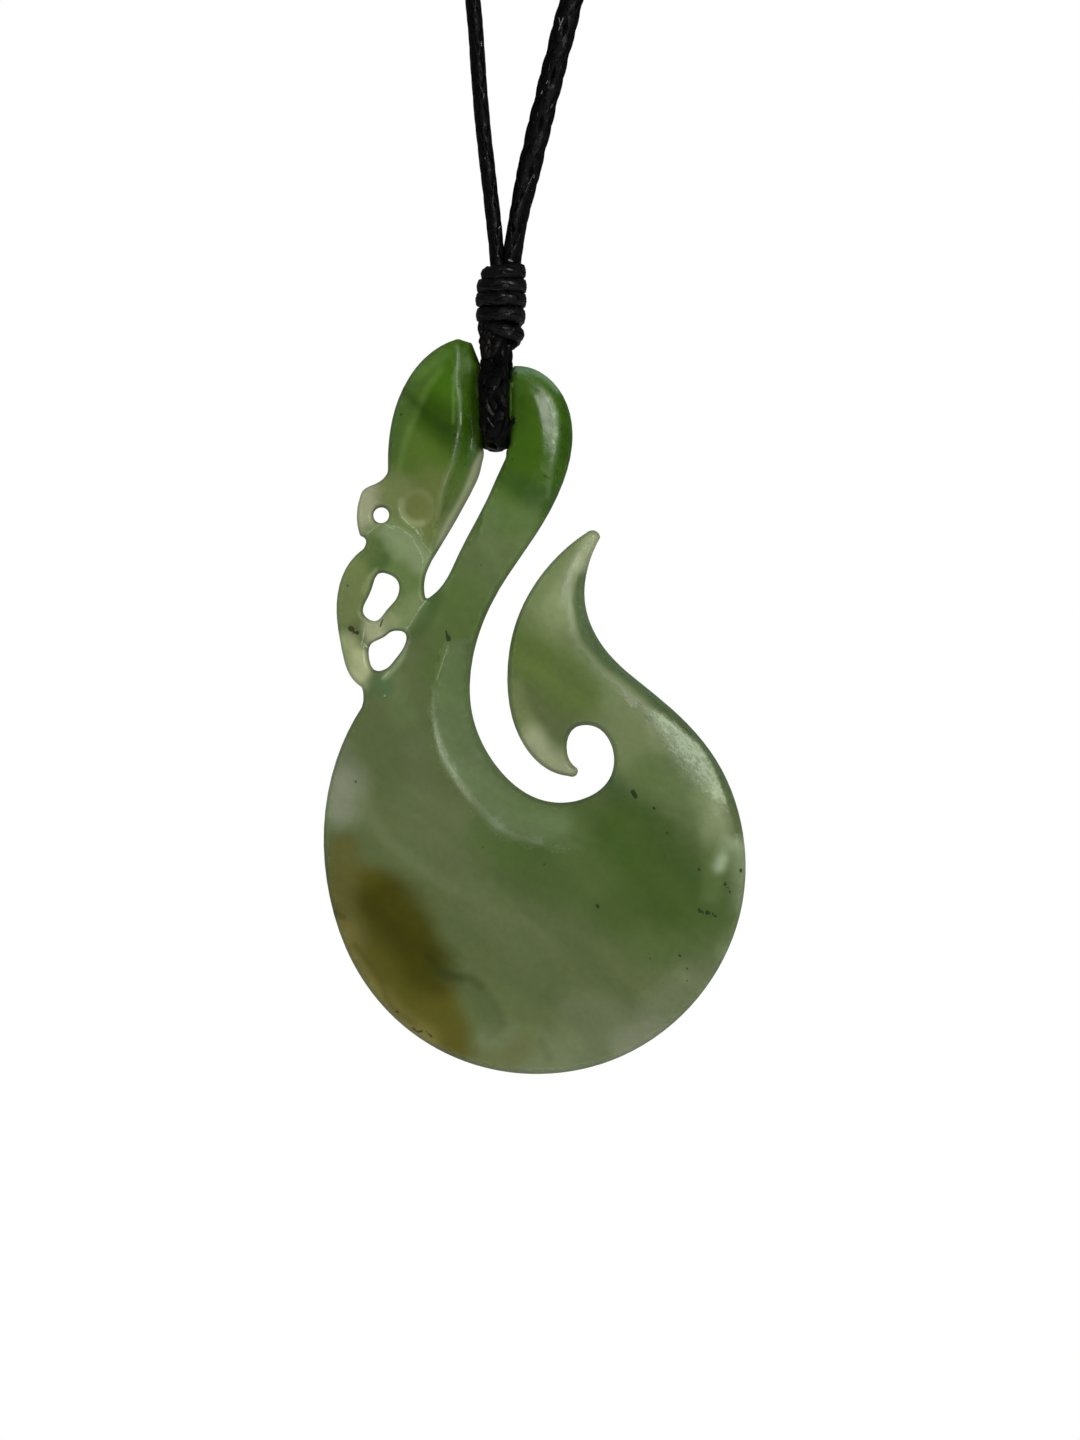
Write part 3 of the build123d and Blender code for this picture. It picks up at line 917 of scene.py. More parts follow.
places = points[:, [0, 2]].copy()
nearest = np.empty((count, 2))
outward = np.empty((count, 2))
for index, (x, z) in enumerate(places):
    where, _, strip, _ = wallTree.find_nearest((x, 0, z))
    nearest[index] = where.x, where.z
    outward[index] = walls[strip][4:6]
offset = places - nearest
depth = np.linalg.norm(offset, axis=1)
outside = (np.sum(offset * outward, axis=1) > 0.5 * depth) & (depth < 0.4)
depth = np.where(outside, 0.0, depth)
offset = np.where(outside[:, None], 0.0, offset)
trust = np.clip(depth / 0.08, 0, 1)[:, None]
inward = unit(trust * offset / np.maximum(depth, 1e-6)[:, None] - (1 - trust) * outward)
onBridge = (
    (places[:, 0] > bridge["left"] + bridge["margin"])
    & (places[:, 0] < bridge["right"] - bridge["margin"])
    & (places[:, 1] > bridge["below"])
    & (places[:, 1] < bridge["above"])
)
rim = np.full(count, stone["rim"])
for zone in rimZones:
    near = 1 - smoothStep(np.linalg.norm(places - zone["centre"], axis=1) / zone["reach"])
    rim = rim + (zone["rim"] - rim) * near
power = stone["rimPower"]
outer = np.clip(1 - depth / rim, 0, 1)
level = np.clip(1.02 * np.abs(points[:, 1]) / crownHeight(places), 0, 1)
level = np.where(depth > 0.4, 1.0, level)
size = np.maximum((outer**power + level**power) ** (1 / power), 1e-6)
newDepth = np.where(outer > 0, rim * (1 - outer / size), depth)
newPlaces = nearest + inward * newDepth[:, None]
newLevel = np.where(outer > 0, level / size, level)
for bevel in bevels:
    if bevel["round"] < 0.1:
        pulled = pullOnto(newPlaces, bevel["crest"], stone["crestPull"])
        newPlaces = np.where((newDepth > stone["crestDepth"])[:, None], pulled, newPlaces)
newHeight = faceHeight(newPlaces, newDepth)
front = np.sign(points[:, 1])
keep = onBridge[:, None]  # the bridge under the cord stays as it is
shaped = np.stack([newPlaces[:, 0], front * newHeight * newLevel, newPlaces[:, 1]], axis=1)
for lip in slotLips:  # the stone closes in on the cord where it comes out under the bridge
    up = newPlaces[:, 1]
    height = smoothStep((up - lip["from"]) / lip["rise"]) * smoothStep((lip["upTo"] - up) / 1.4)
    near = 1 - smoothStep(np.abs(newPlaces[:, 0] - lip["wall"]) / lip["reach"])
    shaped[:, 0] += lip["move"] * height * near
shaped = np.where(keep, points, shaped)
shaped = shaped + np.array([stoneLeft, 0, stoneBottom])

places = np.where(keep, places, newPlaces)

# colour strokes laid one after another, some of them painted light or shade: a line, its half width, how far
# it fades, tone, amount
baseTone = (88, 99, 61)
strokes = [
    ([(1.4, 26.4), (1.2, 24.4)], 0.2, 1.8, (104, 112, 84), 0.6),
    ([(1.9, 23.8), (1.6, 21.8)], 0.3, 2.5, (126, 131, 109), 0.78),
    ([(5.6, 32.0), (6.6, 29.0)], 0.3, 1.4, (98, 114, 74), 0.5),
    ([(7.6, 26.4), (8.0, 24.4)], 0.2, 1.8, (98, 108, 76), 0.6),
    ([(8.0, 22.0), (12.0, 17.0), (17.0, 12.3)], 1.0, 3.0, (95, 105, 69), 0.7),
    ([(14.5, 2.0), (19.0, 1.4), (24.0, 3.0), (30.0, 7.2), (33.6, 12.0)], 0.5, 3.0, (107, 116, 84), 0.85),
    ([(34.3, 18.0), (34.2, 14.5), (33.2, 10.4)], 0.5, 1.4, (142, 154, 122), 0.9),
    ([(24.5, 2.6), (27.0, 3.8)], 0.3, 1.6, (124, 128, 104), 0.7),
    ([(12.6, 1.2), (14.6, 1.2), (16.4, 2.4)], 0.3, 1.6, (92, 97, 56), 0.7),
    ([(31.4, 22.4), (31.7, 20.4), (31.8, 18.4)], 0.5, 1.5, (128, 140, 100), 0.85),
    ([(23.8, 23.8), (24.2, 22.6)], 0.4, 1.4, (60, 82, 46), 0.8),
    ([(18.5, 18.4), (23.8, 17.8), (29.5, 14.5)], 2.6, 4.6, (74, 91, 46), 0.95),
    ([(25.5, 12.0), (31.5, 12.0)], 1.0, 3.2, (77, 93, 49), 0.7),
    ([(25.0, 19.5), (27.0, 16.5), (28.5, 15.0)], 1.4, 3.0, (61, 82, 29), 0.85),
    ([(30.6, 15.0), (31.7, 13.2)], 0.4, 2.0, (66, 86, 38), 0.7),
    ([(13.5, 19.8), (17.5, 18.4)], 0.6, 2.2, (75, 95, 46), 0.7),
    ([(14.4, 21.0), (17.0, 20.5), (19.2, 20.4)], 0.1, 2.0, (100, 116, 79), 0.7),
    ([(3.4, 14.2), (5.0, 11.6), (7.7, 6.6), (9.3, 2.8)], 1.9, 2.0, (83, 80, 24), 1.0),
    ([(1.6, 18.2), (1.8, 14.5), (2.4, 11.5)], 0.5, 1.6, (93, 91, 44), 0.9),
    ([(5.2, 14.2), (6.9, 11.9), (8.5, 8.9)], 0.9, 2.7, (60, 59, 3), 0.92),
    ([(1.5, 11.6), (2.4, 9.4), (4.2, 6.4), (6.8, 3.9), (8.4, 3.0)], 0.3, 1.5, (114, 108, 56), 0.8),
    ([(2.6, 10.6), (4.4, 8.2), (5.6, 5.6), (7.4, 4.2)], 0.02, 0.45, (74, 70, 22), 0.5),
    ([(0.9, 13.2), (1.7, 12.8)], 0.02, 0.35, (64, 62, 26), 0.5),
    ([(9.8, 8.4), (11.2, 7.5), (12.3, 6.6), (13.3, 5.2), (14.0, 3.6)], 0.1, 1.3, (68, 78, 42), 0.38),
    ([(8.6, 9.6), (9.5, 8.5), (10.6, 8.05), (12.0, 7.9), (12.9, 7.2)], 0.03, 0.65, (44, 52, 10), 0.48),
    ([(13.4, 6.6), (14.2, 5.2), (14.6, 4.2)], 0.02, 0.6, (66, 78, 44), 0.4),
    ([(17.8, 2.8), (18.4, 1.4)], 0.02, 0.6, (82, 92, 58), 0.5),
    ([(24.5, 30.0), (25.2, 27.5)], 1.2, 3.2, (110, 122, 82), 0.9),
    ([(20.6, 33.8), (23.0, 31.6)], 0.3, 1.8, (118, 132, 92), 0.7),
    ([(17.4, 35.4), (18.4, 34.4)], 0.3, 1.6, (108, 124, 76), 0.6),
    ([(13.6, 38.0), (14.0, 35.8)], 0.5, 1.4, (68, 88, 44), 0.8),
    ([(16.0, 42.0), (15.4, 40.0)], 0.3, 1.4, (82, 98, 50), 0.6),
    ([(20.5, 5.2), (23.0, 5.2)], 0.4, 2.2, (108, 116, 84), 0.6),
    ([(23.8, 13.4), (26.4, 14.2)], 0.6, 2.6, (62, 80, 33), 0.6),
    ([(31.8, 17.4), (31.8, 14.8)], 0.3, 1.2, (92, 110, 62), 0.6),
    ([(26.5, 24.5), (30.0, 22.5)], 0.6, 2.4, (89, 106, 62), 0.7),
    ([(16.6, 34.5), (18.6, 33.2), (20.5, 31.5)], 1.0, 2.6, (90, 107, 52), 0.9),
    # paler barb tip: painted glow of light through the thin stone
    ([(22.0, 43.4), (20.6, 41.2), (19.4, 39.0)], 0.8, 4.2, (126, 138, 96), 1.0),
    ([(17.0, 38.6), (18.2, 40.4), (19.8, 42.6)], 0.2, 1.0, (106, 121, 76), 0.7),
    ([(15.5, 31.6), (16.2, 29.6), (17.4, 27.4)], 0.05, 1.3, (118, 128, 84), 0.6),
    ([(17.1, 27.2), (18.2, 25.7), (20.3, 24.4)], 0.15, 1.9, (150, 155, 122), 0.82),
    ([(16.5, 56.5), (17.0, 50.5), (15.8, 48.5)], 3.2, 2.6, (58, 89, 9), 1.0),
    ([(14.5, 44.5), (11.5, 40.0)], 2.0, 2.6, (92, 110, 64), 0.6),
    ([(13.6, 45.6), (13.2, 43.6)], 0.4, 1.4, (104, 122, 82), 0.3),
    ([(14.6, 48.9), (16.5, 47.6), (18.2, 46.9)], 0.4, 1.4, (54, 82, 24), 0.8),
    ([(15.2, 56.0), (15.6, 51.0)], 0.5, 1.6, (56, 88, 14), 0.6),
    ([(11.4, 38.0), (10.8, 33.0)], 1.2, 2.6, (80, 101, 48), 0.7),
    ([(10.5, 58.0), (9.4, 54.0)], 3.4, 3.6, (59, 93, 9), 1.0),
    ([(6.5, 53.4), (7.0, 50.0)], 0.8, 1.8, (83, 105, 41), 0.8),
    ([(8.5, 50.2), (11.0, 49.2)], 1.2, 2.2, (75, 97, 33), 0.8),
    ([(11.6, 58.9), (11.7, 55.5)], 0.4, 1.2, (66, 98, 18), 0.6),
    ([(8.6, 53.8), (10.2, 52.8), (11.7, 51.5)], 0.7, 1.7, (42, 68, 3), 0.85),
    ([(6.4, 56.0), (7.7, 54.4), (9.0, 53.3), (10.4, 52.2), (12.0, 51.2)], 0.08, 0.7, (36, 62, 4), 0.85),
    ([(9.3, 47.2), (9.3, 45.2)], 1.2, 2.2, (97, 108, 56), 0.9),
    ([(5.8, 47.2), (6.4, 45.3), (5.7, 44.2)], 0.9, 1.6, (112, 122, 75), 0.9),
    # paler snout: painted glow of light through the thin stone
    ([(2.9, 47.3), (2.8, 45.2)], 0.8, 1.5, (146, 148, 117), 1.0),
    ([(5.5, 43.0), (7.5, 40.6), (7.0, 38.5)], 1.4, 2.0, (97, 117, 66), 0.9),
    ([(5.4, 43.9), (6.8, 43.2), (8.0, 41.8)], 0.5, 1.0, (124, 137, 100), 0.8),
    ([(7.4, 38.0), (6.2, 37.0)], 0.6, 1.2, (120, 134, 88), 0.8),
    # darker strip beside the arm's groove: painted shade
    ([(9.3, 38.8), (8.5, 37.5), (7.7, 36.2)], 0.2, 1.0, (68, 88, 46), 0.8),
    ([(4.6, 42.4), (3.7, 41.0)], 0.7, 1.0, (68, 90, 42), 0.85),
    ([(3.6, 37.6), (5.6, 36.9)], 0.2, 0.9, (150, 158, 118), 0.5),
    ([(5.6, 43.2), (6.2, 42.6)], 0.3, 0.9, (124, 140, 98), 0.7),
    ([(2.6, 41.5), (3.7, 42.6)], 0.3, 1.4, (92, 108, 60), 0.7),
    ([(2.4, 40.5), (1.8, 38.0)], 0.8, 1.5, (111, 123, 74), 0.9),
    # the next three strokes, paler arm tip: painted glow of light through the thin stone
    ([(1.9, 34.8), (2.2, 33.4), (2.6, 32.4)], 0.6, 1.2, (140, 148, 106), 1.0),
    ([(3.0, 34.0), (3.2, 33.2), (2.8, 32.6)], 0.3, 0.8, (164, 168, 128), 0.85),
    ([(4.1, 36.5), (4.4, 35.9)], 0.4, 0.9, (156, 160, 126), 0.9),
    ([(8.5, 58.8), (6.2, 55.2), (5.5, 51.5)], 0.5, 1.6, (64, 88, 38), 0.8),
    ([(2.8, 23.5), (4.8, 19.8), (7.5, 17.4), (10.5, 15.2)], 0.1, 0.9, (104, 113, 80), 0.4),
    ([(7.70, 46.1), (7.70, 46.15)], 1.4, 0.3, (116, 124, 78), 0.6),
    # brighter crescent on the eye ring's lower left: painted highlight
    ([(6.45, 46.6), (6.55, 45.6), (7.2, 45.0), (8.0, 44.95)], 0.1, 0.4, (142, 150, 108), 0.6),
    ([(7.82, 46.2), (7.82, 46.24)], 0.98, 0.3, (104, 110, 58), 0.8),
]
edgeStrokes = [  # laid over the bevels' own colour; some are painted highlights, painted light and painted shade
    ([(15.3, 57.6), (17.0, 57.5), (18.4, 56.8), (19.2, 56.0)], 0.2, 0.5, (110, 142, 106), 0.7),
    # pale line along the back facet's crest: painted highlight
    ([(9.6, 57.4), (8.5, 55.8), (7.5, 53.6), (6.6, 51.2), (6.2, 49.2)], 0.05, 0.45, (112, 142, 70), 0.22),
    # darker strip on the shank bevel's right side: painted shade
    ([(19.9, 55.2), (20.2, 52.8), (19.8, 50.6)], 0.35, 0.6, (42, 74, 0), 0.85),
    # lighter strip by the slot wall: painted light over the cord's shade
    ([(12.7, 57.6), (12.75, 54.6), (12.8, 51.8)], 0.1, 0.6, (104, 136, 40), 0.55),
    ([(11.9, 57.8), (12.0, 54.6), (11.8, 50.6)], 0.2, 0.5, (40, 70, 0), 0.5),
    ([(6.2, 56.2), (7.6, 54.6), (9.0, 53.4), (10.3, 52.6)], 0.03, 0.4, (38, 64, 6), 0.5),
    ([(7.7, 56.9), (8.9, 57.9), (9.9, 58.7)], 0.1, 0.7, (88, 122, 52), 0.4),
    # the next four strokes, lighter lines beside the head's ridge: painted highlights
    ([(11.7, 58.2), (11.75, 57.2)], 0.1, 0.4, (98, 134, 48), 0.3),
    ([(11.8, 56.5), (11.9, 55.3)], 0.12, 0.4, (92, 128, 42), 0.25),
    ([(11.8, 54.8), (11.9, 53.8)], 0.1, 0.35, (92, 128, 42), 0.25),
    ([(10.75, 57.6), (10.6, 55.0), (10.65, 53.0)], 0.02, 0.14, (104, 138, 66), 0.4),
    # bright spot on the right rim and its glow: painted highlight
    ([(33.0, 18.9), (32.2, 17.0)], 0.05, 1.1, (132, 146, 112), 0.6),
    ([(32.5, 17.6), (32.25, 17.0)], 0.02, 0.7, (162, 178, 148), 0.55),
    ([(6.75, 35.2), (6.3, 33.8), (5.0, 32.3)], 0.1, 0.3, (150, 162, 130), 0.4),
    ([(3.3, 39.3), (3.7, 40.3), (4.3, 41.0)], 0.05, 0.35, (140, 150, 104), 0.5),
    ([(4.3, 31.8), (5.0, 31.6)], 0.3, 0.9, (72, 98, 64), 0.6),
    # paler barb tip: painted glow of light through the thin stone
    ([(21.9, 43.3), (20.9, 41.5)], 0.3, 0.7, (164, 172, 136), 0.7),
]
tone = np.tile(np.array(linear(*baseTone)), (count, 1))
warp = np.stack(
    [
        0.5 * np.sin(places[:, 1] * 0.9 + places[:, 0] * 0.4) + 0.25 * np.sin(places[:, 1] * 2.3 + 1.0),
        0.5 * np.sin(places[:, 0] * 0.8 - places[:, 1] * 0.3 + 2.0) + 0.25 * np.sin(places[:, 0] * 2.1),
    ],
    axis=1,
)


def layTone(mask, colour):
    global tone
    tone = tone + (np.array(linear(*colour)) - tone) * mask[:, None]


for line, wide, soft, shade, amount in strokes:
    distance = fromLine(places + warp * 0.12 * soft, line)[0]
    mask = 1 - smoothStep((distance - wide) / soft)
    layTone(amount * mask, shade)

# frosted crests are rougher, and a whitish painted highlight is laid along them
frostAndGlint = np.zeros(count)
matt = np.where(onBridge, 0.0, bell(newDepth, 0.3))  # rims and crests left less polished
for bevel in bevels:
    fade, slope, past, share = bevelBand(places, newDepth, bevel)
    # each bevel's tone: a painted reflection on the hook bevel, painted shade on the barb and shank bevels
    layTone(bevel["tint"] * fade * smoothStep(past / 0.35) * (past < bevel["reach"]), bevel["tone"])
    dullness = np.interp(share, *zip(*bevel["matt"]))
    matt = np.maximum(matt, dullness * fade * bell(past, 0.35))
    reach = smoothStep((share - bevel["frostAndGlintFrom"]) / 0.12) * smoothStep((bevel["frostAndGlintTo"] - share) / 0.12)
    frostAndGlint = np.maximum(frostAndGlint, bevel["frostAndGlint"] * reach * bell(past, 0.16))
for line, wide, soft, shade, amount in edgeStrokes:
    distance = fromLine(places, line)[0]
    layTone(amount * (1 - smoothStep((distance - wide) / soft)), shade)
for groove in grooves:
    distance, share, side = fromLine(places, groove["line"])
    frostAndGlint = np.maximum(frostAndGlint, groove["frostAndGlint"] * bell(distance, 0.2))
fromEye = np.abs(np.linalg.norm(places - eyeRing["centre"], axis=1) - eyeRing["radius"])
layTone(0.15 * bell(fromEye, 0.22), (134, 142, 98))
# the rims darkened: painted shade
paintedRimShade = np.where(onBridge, 0.0, bell(newDepth, 0.22)) * (level > 0.2)
layTone(0.18 * paintedRimShade, (60, 82, 56))

# mm on the stone: from across, up, to across, up, half width
inclusions = [
    (25.2, 23.05, 25.4, 22.7, 0.19),
    (10.02, 36.1, 10.14, 35.75, 0.07),
    (10.2, 35.58, 10.24, 35.46, 0.19),
    (2.25, 36.35, 2.35, 36.25, 0.22),
    (2.72, 36.0, 2.8, 36.0, 0.14),
    (4.86, 37.05, 4.68, 36.5, 0.05),
    (2.0, 39.85, 2.0, 39.8, 0.06),
    (12.9, 41.5, 12.9, 41.45, 0.05),
    (22.3, 13.85, 22.36, 13.7, 0.12),
    (30.6, 13.45, 30.65, 13.35, 0.14),
    (31.25, 13.25, 31.35, 13.2, 0.16),
    (31.9, 12.95, 31.95, 12.9, 0.09),
    (30.55, 16.75, 30.6, 16.7, 0.11),
    (32.7, 15.6, 32.75, 15.5, 0.10),
    (33.1, 14.95, 33.1, 14.9, 0.07),
    (34.0, 16.7, 34.0, 16.6, 0.12),
    (29.0, 9.75, 29.05, 9.7, 0.09),
    (29.6, 8.7, 29.6, 8.65, 0.06),
    (29.6, 7.7, 29.6, 7.65, 0.05),
    (26.6, 9.55, 26.6, 9.5, 0.05),
    (7.3, 3.85, 7.55, 3.65, 0.07),
    (7.75, 3.55, 8.05, 3.6, 0.09),
    (8.55, 3.4, 8.85, 3.15, 0.06),
    (6.05, 5.2, 6.1, 5.15, 0.08),
    (2.7, 23.9, 2.7, 23.85, 0.07),
    (28.0, 19.75, 28.0, 19.7, 0.08),
    (26.9, 21.75, 26.95, 21.7, 0.11),
    (6.35, 53.75, 6.4, 53.7, 0.08),
    (15.75, 57.1, 15.8, 57.05, 0.09),
    (15.4, 54.0, 15.4, 53.95, 0.08),
    (15.4, 50.1, 15.4, 50.05, 0.05),
    (18.0, 48.75, 18.4, 48.55, 0.06),
    (19.4, 52.6, 19.4, 52.5, 0.07),
    (18.0, 17.2, 18.0, 17.15, 0.06),
    (13.0, 18.6, 13.0, 18.55, 0.05),
]
chiselMarks = [
    (3.56, 44.03, 4.65, 44.85, 0.04),
    (5.1, 44.8, 5.7, 44.45, 0.03),
    (6.19, 46.2, 6.37, 45.5, 0.04),
    (6.37, 45.5, 7.0, 44.85, 0.05),
    (7.0, 44.85, 7.4, 44.5, 0.04),
    (7.55, 44.4, 7.95, 43.85, 0.09),
    (8.09, 43.3, 8.82, 42.49, 0.03),
    (8.4, 38.6, 7.9, 37.95, 0.06),
    (7.9, 37.95, 6.75, 36.15, 0.04),
    (3.38, 36.3, 3.3, 35.8, 0.06),
    (3.25, 35.2, 3.65, 34.8, 0.08),
    (3.3, 35.6, 3.1, 34.9, 0.05),
    (4.85, 32.25, 5.45, 32.85, 0.05),
    (6.72, 35.5, 6.4, 34.6, 0.03),
    (5.05, 30.9, 5.05, 30.85, 0.07),
    (10.95, 58.8, 10.9, 56.7, 0.02),
    (10.9, 56.2, 11.05, 55.0, 0.015),
    (11.22, 53.9, 11.25, 53.0, 0.06),
    (11.0, 52.2, 10.95, 51.8, 0.06),
    (10.85, 51.2, 10.5, 50.0, 0.02),
    (10.3, 49.2, 9.9, 48.0, 0.015),
    (12.5, 56.0, 12.6, 55.2, 0.06),
    (10.2, 34.9, 9.3, 32.2, 0.035),
    (15.6, 56.3, 15.6, 56.0, 0.06),
    (15.9, 40.4, 13.3, 36.4, 0.015),
]
finerMarks = [
    (5.7, 44.65, 6.28, 44.49, 0.03),
    (6.28, 44.49, 7.19, 43.85, 0.035),
    (7.19, 43.85, 7.91, 42.58, 0.035),
    (7.91, 42.58, 8.18, 41.95, 0.05),
    (8.18, 41.95, 8.09, 41.4, 0.05),
    (7.9, 44.5, 8.2, 43.9, 0.03),
    (12.05, 53.3, 12.1, 51.8, 0.03),
    (12.1, 51.8, 12.0, 50.9, 0.03),
]


def markField(marks):
    # for each place, its nearest mark: distance across and along it, half its length; its half width
    field = np.zeros((count, 3))
    width = np.full(count, -1.0)
    closest = np.full(count, 0.3)
    for x0, z0, x1, z1, half in marks:
        length = math.dist((x0, z0), (x1, z1))
        ahead = np.array([x1 - x0, z1 - z0]) / length
        offset = places - ((x0 + x1) / 2, (z0 + z1) / 2)
        along = offset @ ahead
        across = offset @ (-ahead[1], ahead[0])
        distance = np.hypot(across, np.maximum(np.abs(along) - length / 2, 0)) - half
        mine = (distance < closest) & (front < 0)
        field[mine] = np.stack([across, along, np.full(count, length / 2)], axis=1)[mine]
        width[mine] = half
        closest = np.where(mine, distance, closest)
    return field, width


wearAndSheenCrests = [  # crest, its worn side, how far the wear reaches in from it, how worn; its lighter colour is painted highlight
    ([(26.2, 30.45), (27.0, 29.75), (28.2, 28.9), (29.6, 27.75), (30.85, 26.5), (31.7, 25.1), (32.25, 23.85),
      (32.75, 22.5), (32.95, 21.6)], -1, 3.1, 1.0),
    ([(9.0, 29.6), (9.2, 27.7), (9.7, 25.9), (11.0, 23.7), (12.3, 22.1)], 1, 0.9, 0.55),
    ([(17.5, 56.3), (18.6, 55.1), (19.1, 53.5), (19.05, 51.2), (18.6, 49.4)], -1, 1.2, 0.5),
]
wearAndSheen = np.zeros(count)
for line, wearAndSheenSide, furthest, howWornAndBright in wearAndSheenCrests:
    distance, share, side = fromLine(places, line)
    inward = np.where(side == wearAndSheenSide, distance, -distance)
    reach = furthest * np.sin(math.pi * np.clip(share, 0, 1) ** 1.15) ** 0.8 + 0.05
    strength = smoothStep((inward + 0.06) / 0.1) * (1 - smoothStep((inward / reach - 0.1) / 0.9))
    wearAndSheen = np.maximum(wearAndSheen, howWornAndBright * strength * smoothStep(share * 6) * smoothStep((1 - share) * 9))
matt = np.maximum(matt, wearAndSheen * 0.5)
attributes = {
    "tone": np.concatenate([tone, np.ones((count, 1))], axis=1),
    "frostAndGlint": frostAndGlint,
    "wearAndSheen": wearAndSheen,
    "matt": matt,
}
for name, marks in (("inclusion", inclusions), ("chisel", chiselMarks), ("finer", finerMarks)):
    attributes[name + "Place"], attributes[name + "Width"] = markField(marks)
print("stone shaped")

greenstone = {
    "roughness": 0.17,
    "mottleRoughness": 0.08,
    "frostRoughness": 0.3,
    "mattRoughness": 0.38,
    "bump": 0.35,
    "index": 1.61,
    "shine": 0.30,
    "scatter": 0.5,
    "scatterRadius": (0.8, 1.0, 0.45),
    "scatterScale": 0.0011,
}
markings = {  # tone and how strongly it lies over the stone's own
    "inclusion": ((34, 36, 20), 0.85),
    "chisel": ((190, 206, 172), 0.42),
    # the whitish tones for frost, flakes and wear are painted highlights
    "frostAndGlint": ((186, 204, 170), 0.42),
    "glintFlake": ((196, 213, 182), 0.37),
    "wearAndSheen": ((190, 208, 174), 0.24),
}
stoneMaterial = bpy.data.materials.new("greenstone")
stoneMaterial.use_nodes = True
tree = stoneMaterial.node_tree
shader = tree.nodes["Principled BSDF"]
shader.inputs["IOR"].default_value = greenstone["index"]
shader.inputs["Subsurface Weight"].default_value = greenstone["scatter"]
shader.inputs["Subsurface Radius"].default_value = greenstone["scatterRadius"]
shader.inputs["Subsurface Scale"].default_value = greenstone["scatterScale"]
shader.inputs["Specular IOR Level"].default_value = greenstone["shine"]

# a short line or spot on the stone, its edge made ragged
markTree, markIn, markOut = groupTree(
    "stoneMark",
    [
        ("Place", "NodeSocketVector", None),
        ("Width", "NodeSocketFloat", -1.0),
        ("Softness", "NodeSocketFloat", 0.05),
        ("Ragged", "NodeSocketFloat", 0.0),
    ],
    [("Mask", "NodeSocketFloat")],
)
parts = addNode(markTree, "SeparateXYZ", {0: markIn.outputs["Place"]})
across = reckon(markTree, "ADD", parts.outputs[0], markIn.outputs["Ragged"])
past = reckon(markTree, "SUBTRACT", reckon(markTree, "ABSOLUTE", parts.outputs[1]), parts.outputs[2])
past = reckon(markTree, "MAXIMUM", past, 0.0)
squares = reckon(markTree, "ADD", multiply(markTree, across, across), multiply(markTree, past, past))
within = reckon(markTree, "SUBTRACT", markIn.outputs["Width"], reckon(markTree, "SQRT", squares))
inMark = reckon(markTree, "DIVIDE", within, markIn.outputs["Softness"])
feed(markTree, markOut.inputs["Mask"], reckon(markTree, "ADD", inMark, 0.5, clamp=True))

coordinates = tree.nodes.new("ShaderNodeTexCoord")
enlarge = addNode(tree, "VectorMath", {0: coordinates.outputs["Object"], "Scale": 1 / mm}, "SCALE")
inMillimetres = enlarge.outputs[0]


def turned(degrees, scale):
    # lengthened and turned in the plane of the stone's face
    node = tree.nodes.new("ShaderNodeMapping")
    node.vector_type = "TEXTURE"
    node.inputs["Rotation"].default_value = (0, math.radians(degrees), 0)
    node.inputs["Scale"].default_value = scale
    tree.links.new(inMillimetres, node.inputs["Vector"])
    return node.outputs[0]


def noise(place, scale, detail, **others):
    return addNode(tree, "TexNoise", {"Vector": place, "Scale": scale, "Detail": detail, **others}).outputs[0]


grain = noise(turned(38, (11.0, 5.0, 4.0)), 1.0, 4.0, Roughness=0.5, Distortion=0.6)
mottle = noise(inMillimetres, 1.7, 8.0, Roughness=0.62)
colour = readAttribute(tree, "tone", "Color")
colour = blendColour(tree, 1.0, colour, spread(tree, grain, 0.25, 0.75, 0.88, 1.12), "MULTIPLY")
colour = blendColour(tree, 1.0, colour, spread(tree, mottle, 0.3, 0.7, 0.96, 1.04), "MULTIPLY")
chatter = noise(inMillimetres, 5.0, 3.0)
chatterMask = spread(tree, chatter, 0.38, 0.60)
frostAndGlintMask = multiply(tree, readAttribute(tree, "frostAndGlint"), chatterMask)
ragged = multiply(tree, reckon(tree, "SUBTRACT", chatter, 0.5), 0.22)


def markMask(name, softness):
    node = tree.nodes.new("ShaderNodeGroup")
    node.node_tree = markTree
    node.inputs["Softness"].default_value = softness
    tree.links.new(readAttribute(tree, name + "Place", "Vector"), node.inputs["Place"])
    tree.links.new(readAttribute(tree, name + "Width"), node.inputs["Width"])
    tree.links.new(ragged, node.inputs["Ragged"])
    return node.outputs["Mask"]


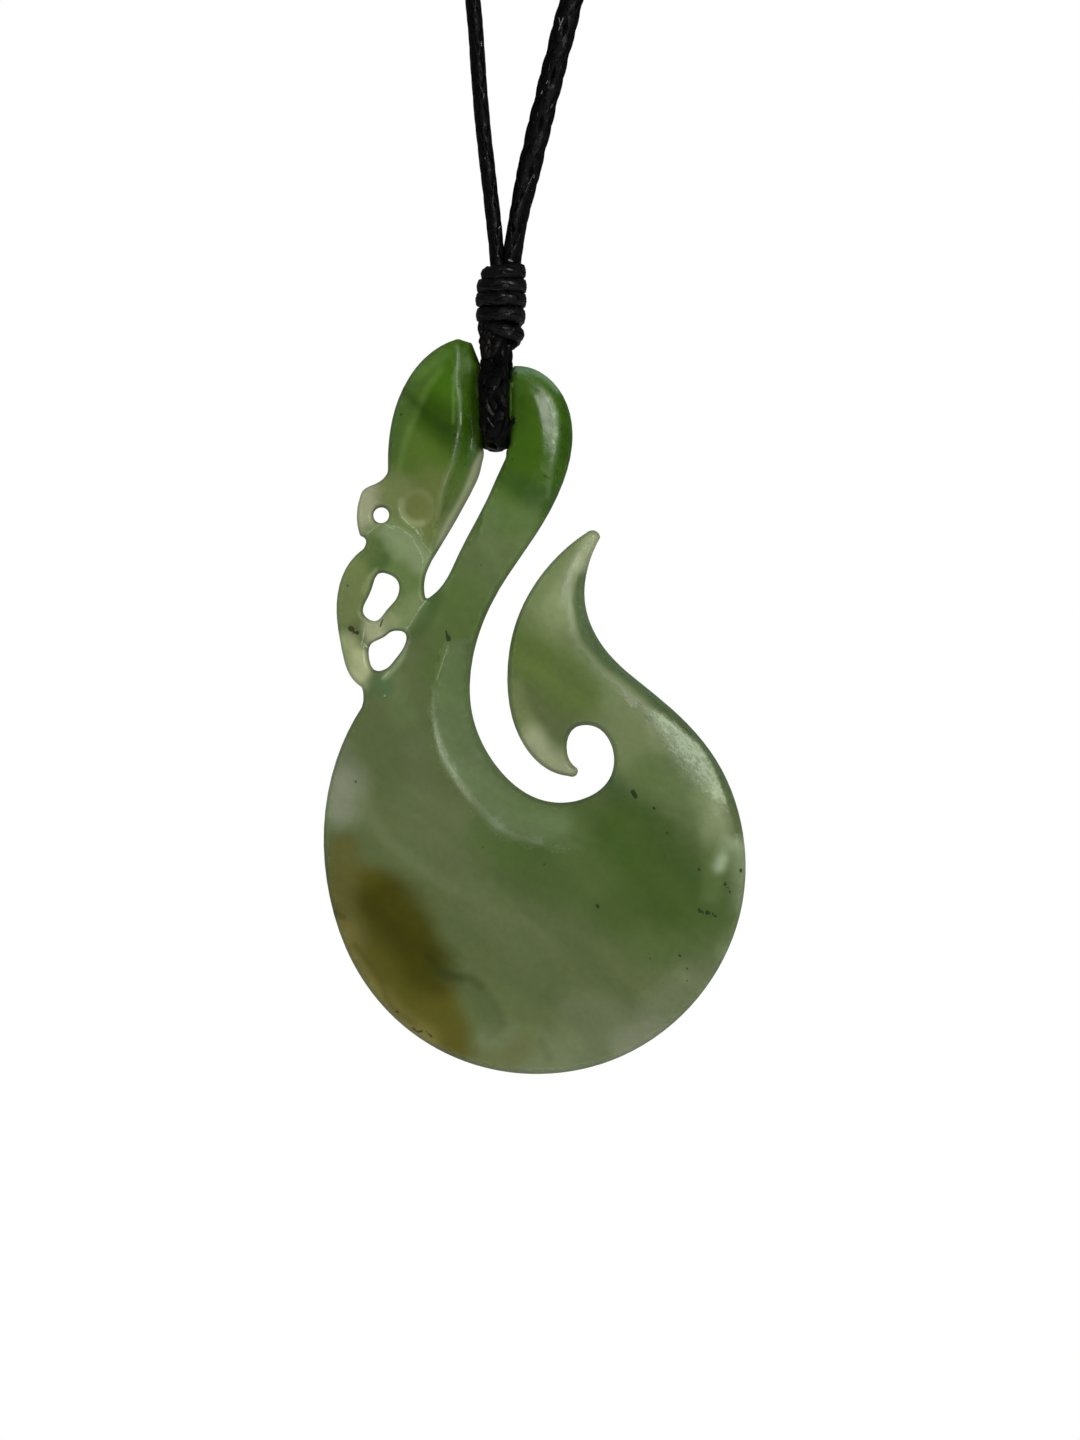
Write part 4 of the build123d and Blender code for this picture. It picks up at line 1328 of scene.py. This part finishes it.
def marked(below, name, mask):
    shade, amount = markings[name]
    return blendColour(tree, multiply(tree, mask, amount), below, linear(*shade))


colour = marked(colour, "inclusion", markMask("inclusion", 0.07))
chiselMask = reckon(tree, "MAXIMUM", markMask("chisel", 0.05), markMask("finer", 0.05))
broken = reckon(tree, "ADD", multiply(tree, chatterMask, 0.7), 0.3)  # the marks come and go along their way
colour = marked(colour, "chisel", multiply(tree, chiselMask, broken))
# frosted crests: a whitish painted highlight over the rougher surface
colour = marked(colour, "frostAndGlint", frostAndGlintMask)
scratches = noise(turned(52, (0.62, 0.42, 0.30)), 1.0, 5.0, Distortion=1.2)
wearAndSheenZone = readAttribute(tree, "wearAndSheen")
glintNoise = reckon(tree, "ADD", scratches, multiply(tree, wearAndSheenZone, 0.32))
glintFlakes = multiply(tree, spread(tree, glintNoise, 0.60, 0.92), spread(tree, wearAndSheenZone, 0.0, 0.25))
# whitish flakes and a lighter worn zone: painted highlight over the rougher wear
colour = marked(colour, "glintFlake", glintFlakes)
colour = marked(colour, "wearAndSheen", wearAndSheenZone)
tree.links.new(colour, shader.inputs["Base Color"])
mottleMask = spread(tree, mottle, 0.42, 0.62)
roughness = multiply(tree, mottleMask, greenstone["mottleRoughness"])
roughness = reckon(tree, "ADD", roughness, greenstone["roughness"])
frosted = multiply(tree, frostAndGlintMask, greenstone["frostRoughness"])
roughness = reckon(tree, "ADD", roughness, frosted)
dull = multiply(tree, readAttribute(tree, "matt"), greenstone["mattRoughness"])
roughness = reckon(tree, "ADD", roughness, dull)
tree.links.new(roughness, shader.inputs["Roughness"])
polish = noise(inMillimetres, 0.7, 5.0, Roughness=0.55)
surface = reckon(tree, "ADD", polish, multiply(tree, scratches, wearAndSheenZone))
bump = addNode(tree, "Bump", {"Strength": greenstone["bump"], "Distance": 0.0001, "Height": surface})
tree.links.new(bump.outputs[0], shader.inputs["Normal"])

dressed = meshPiece("greenstoneHook", shaped * mm, faces, stoneMaterial, "stone", attributes)
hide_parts("pendant")
print("stone dressed,", len(faces), "faces")
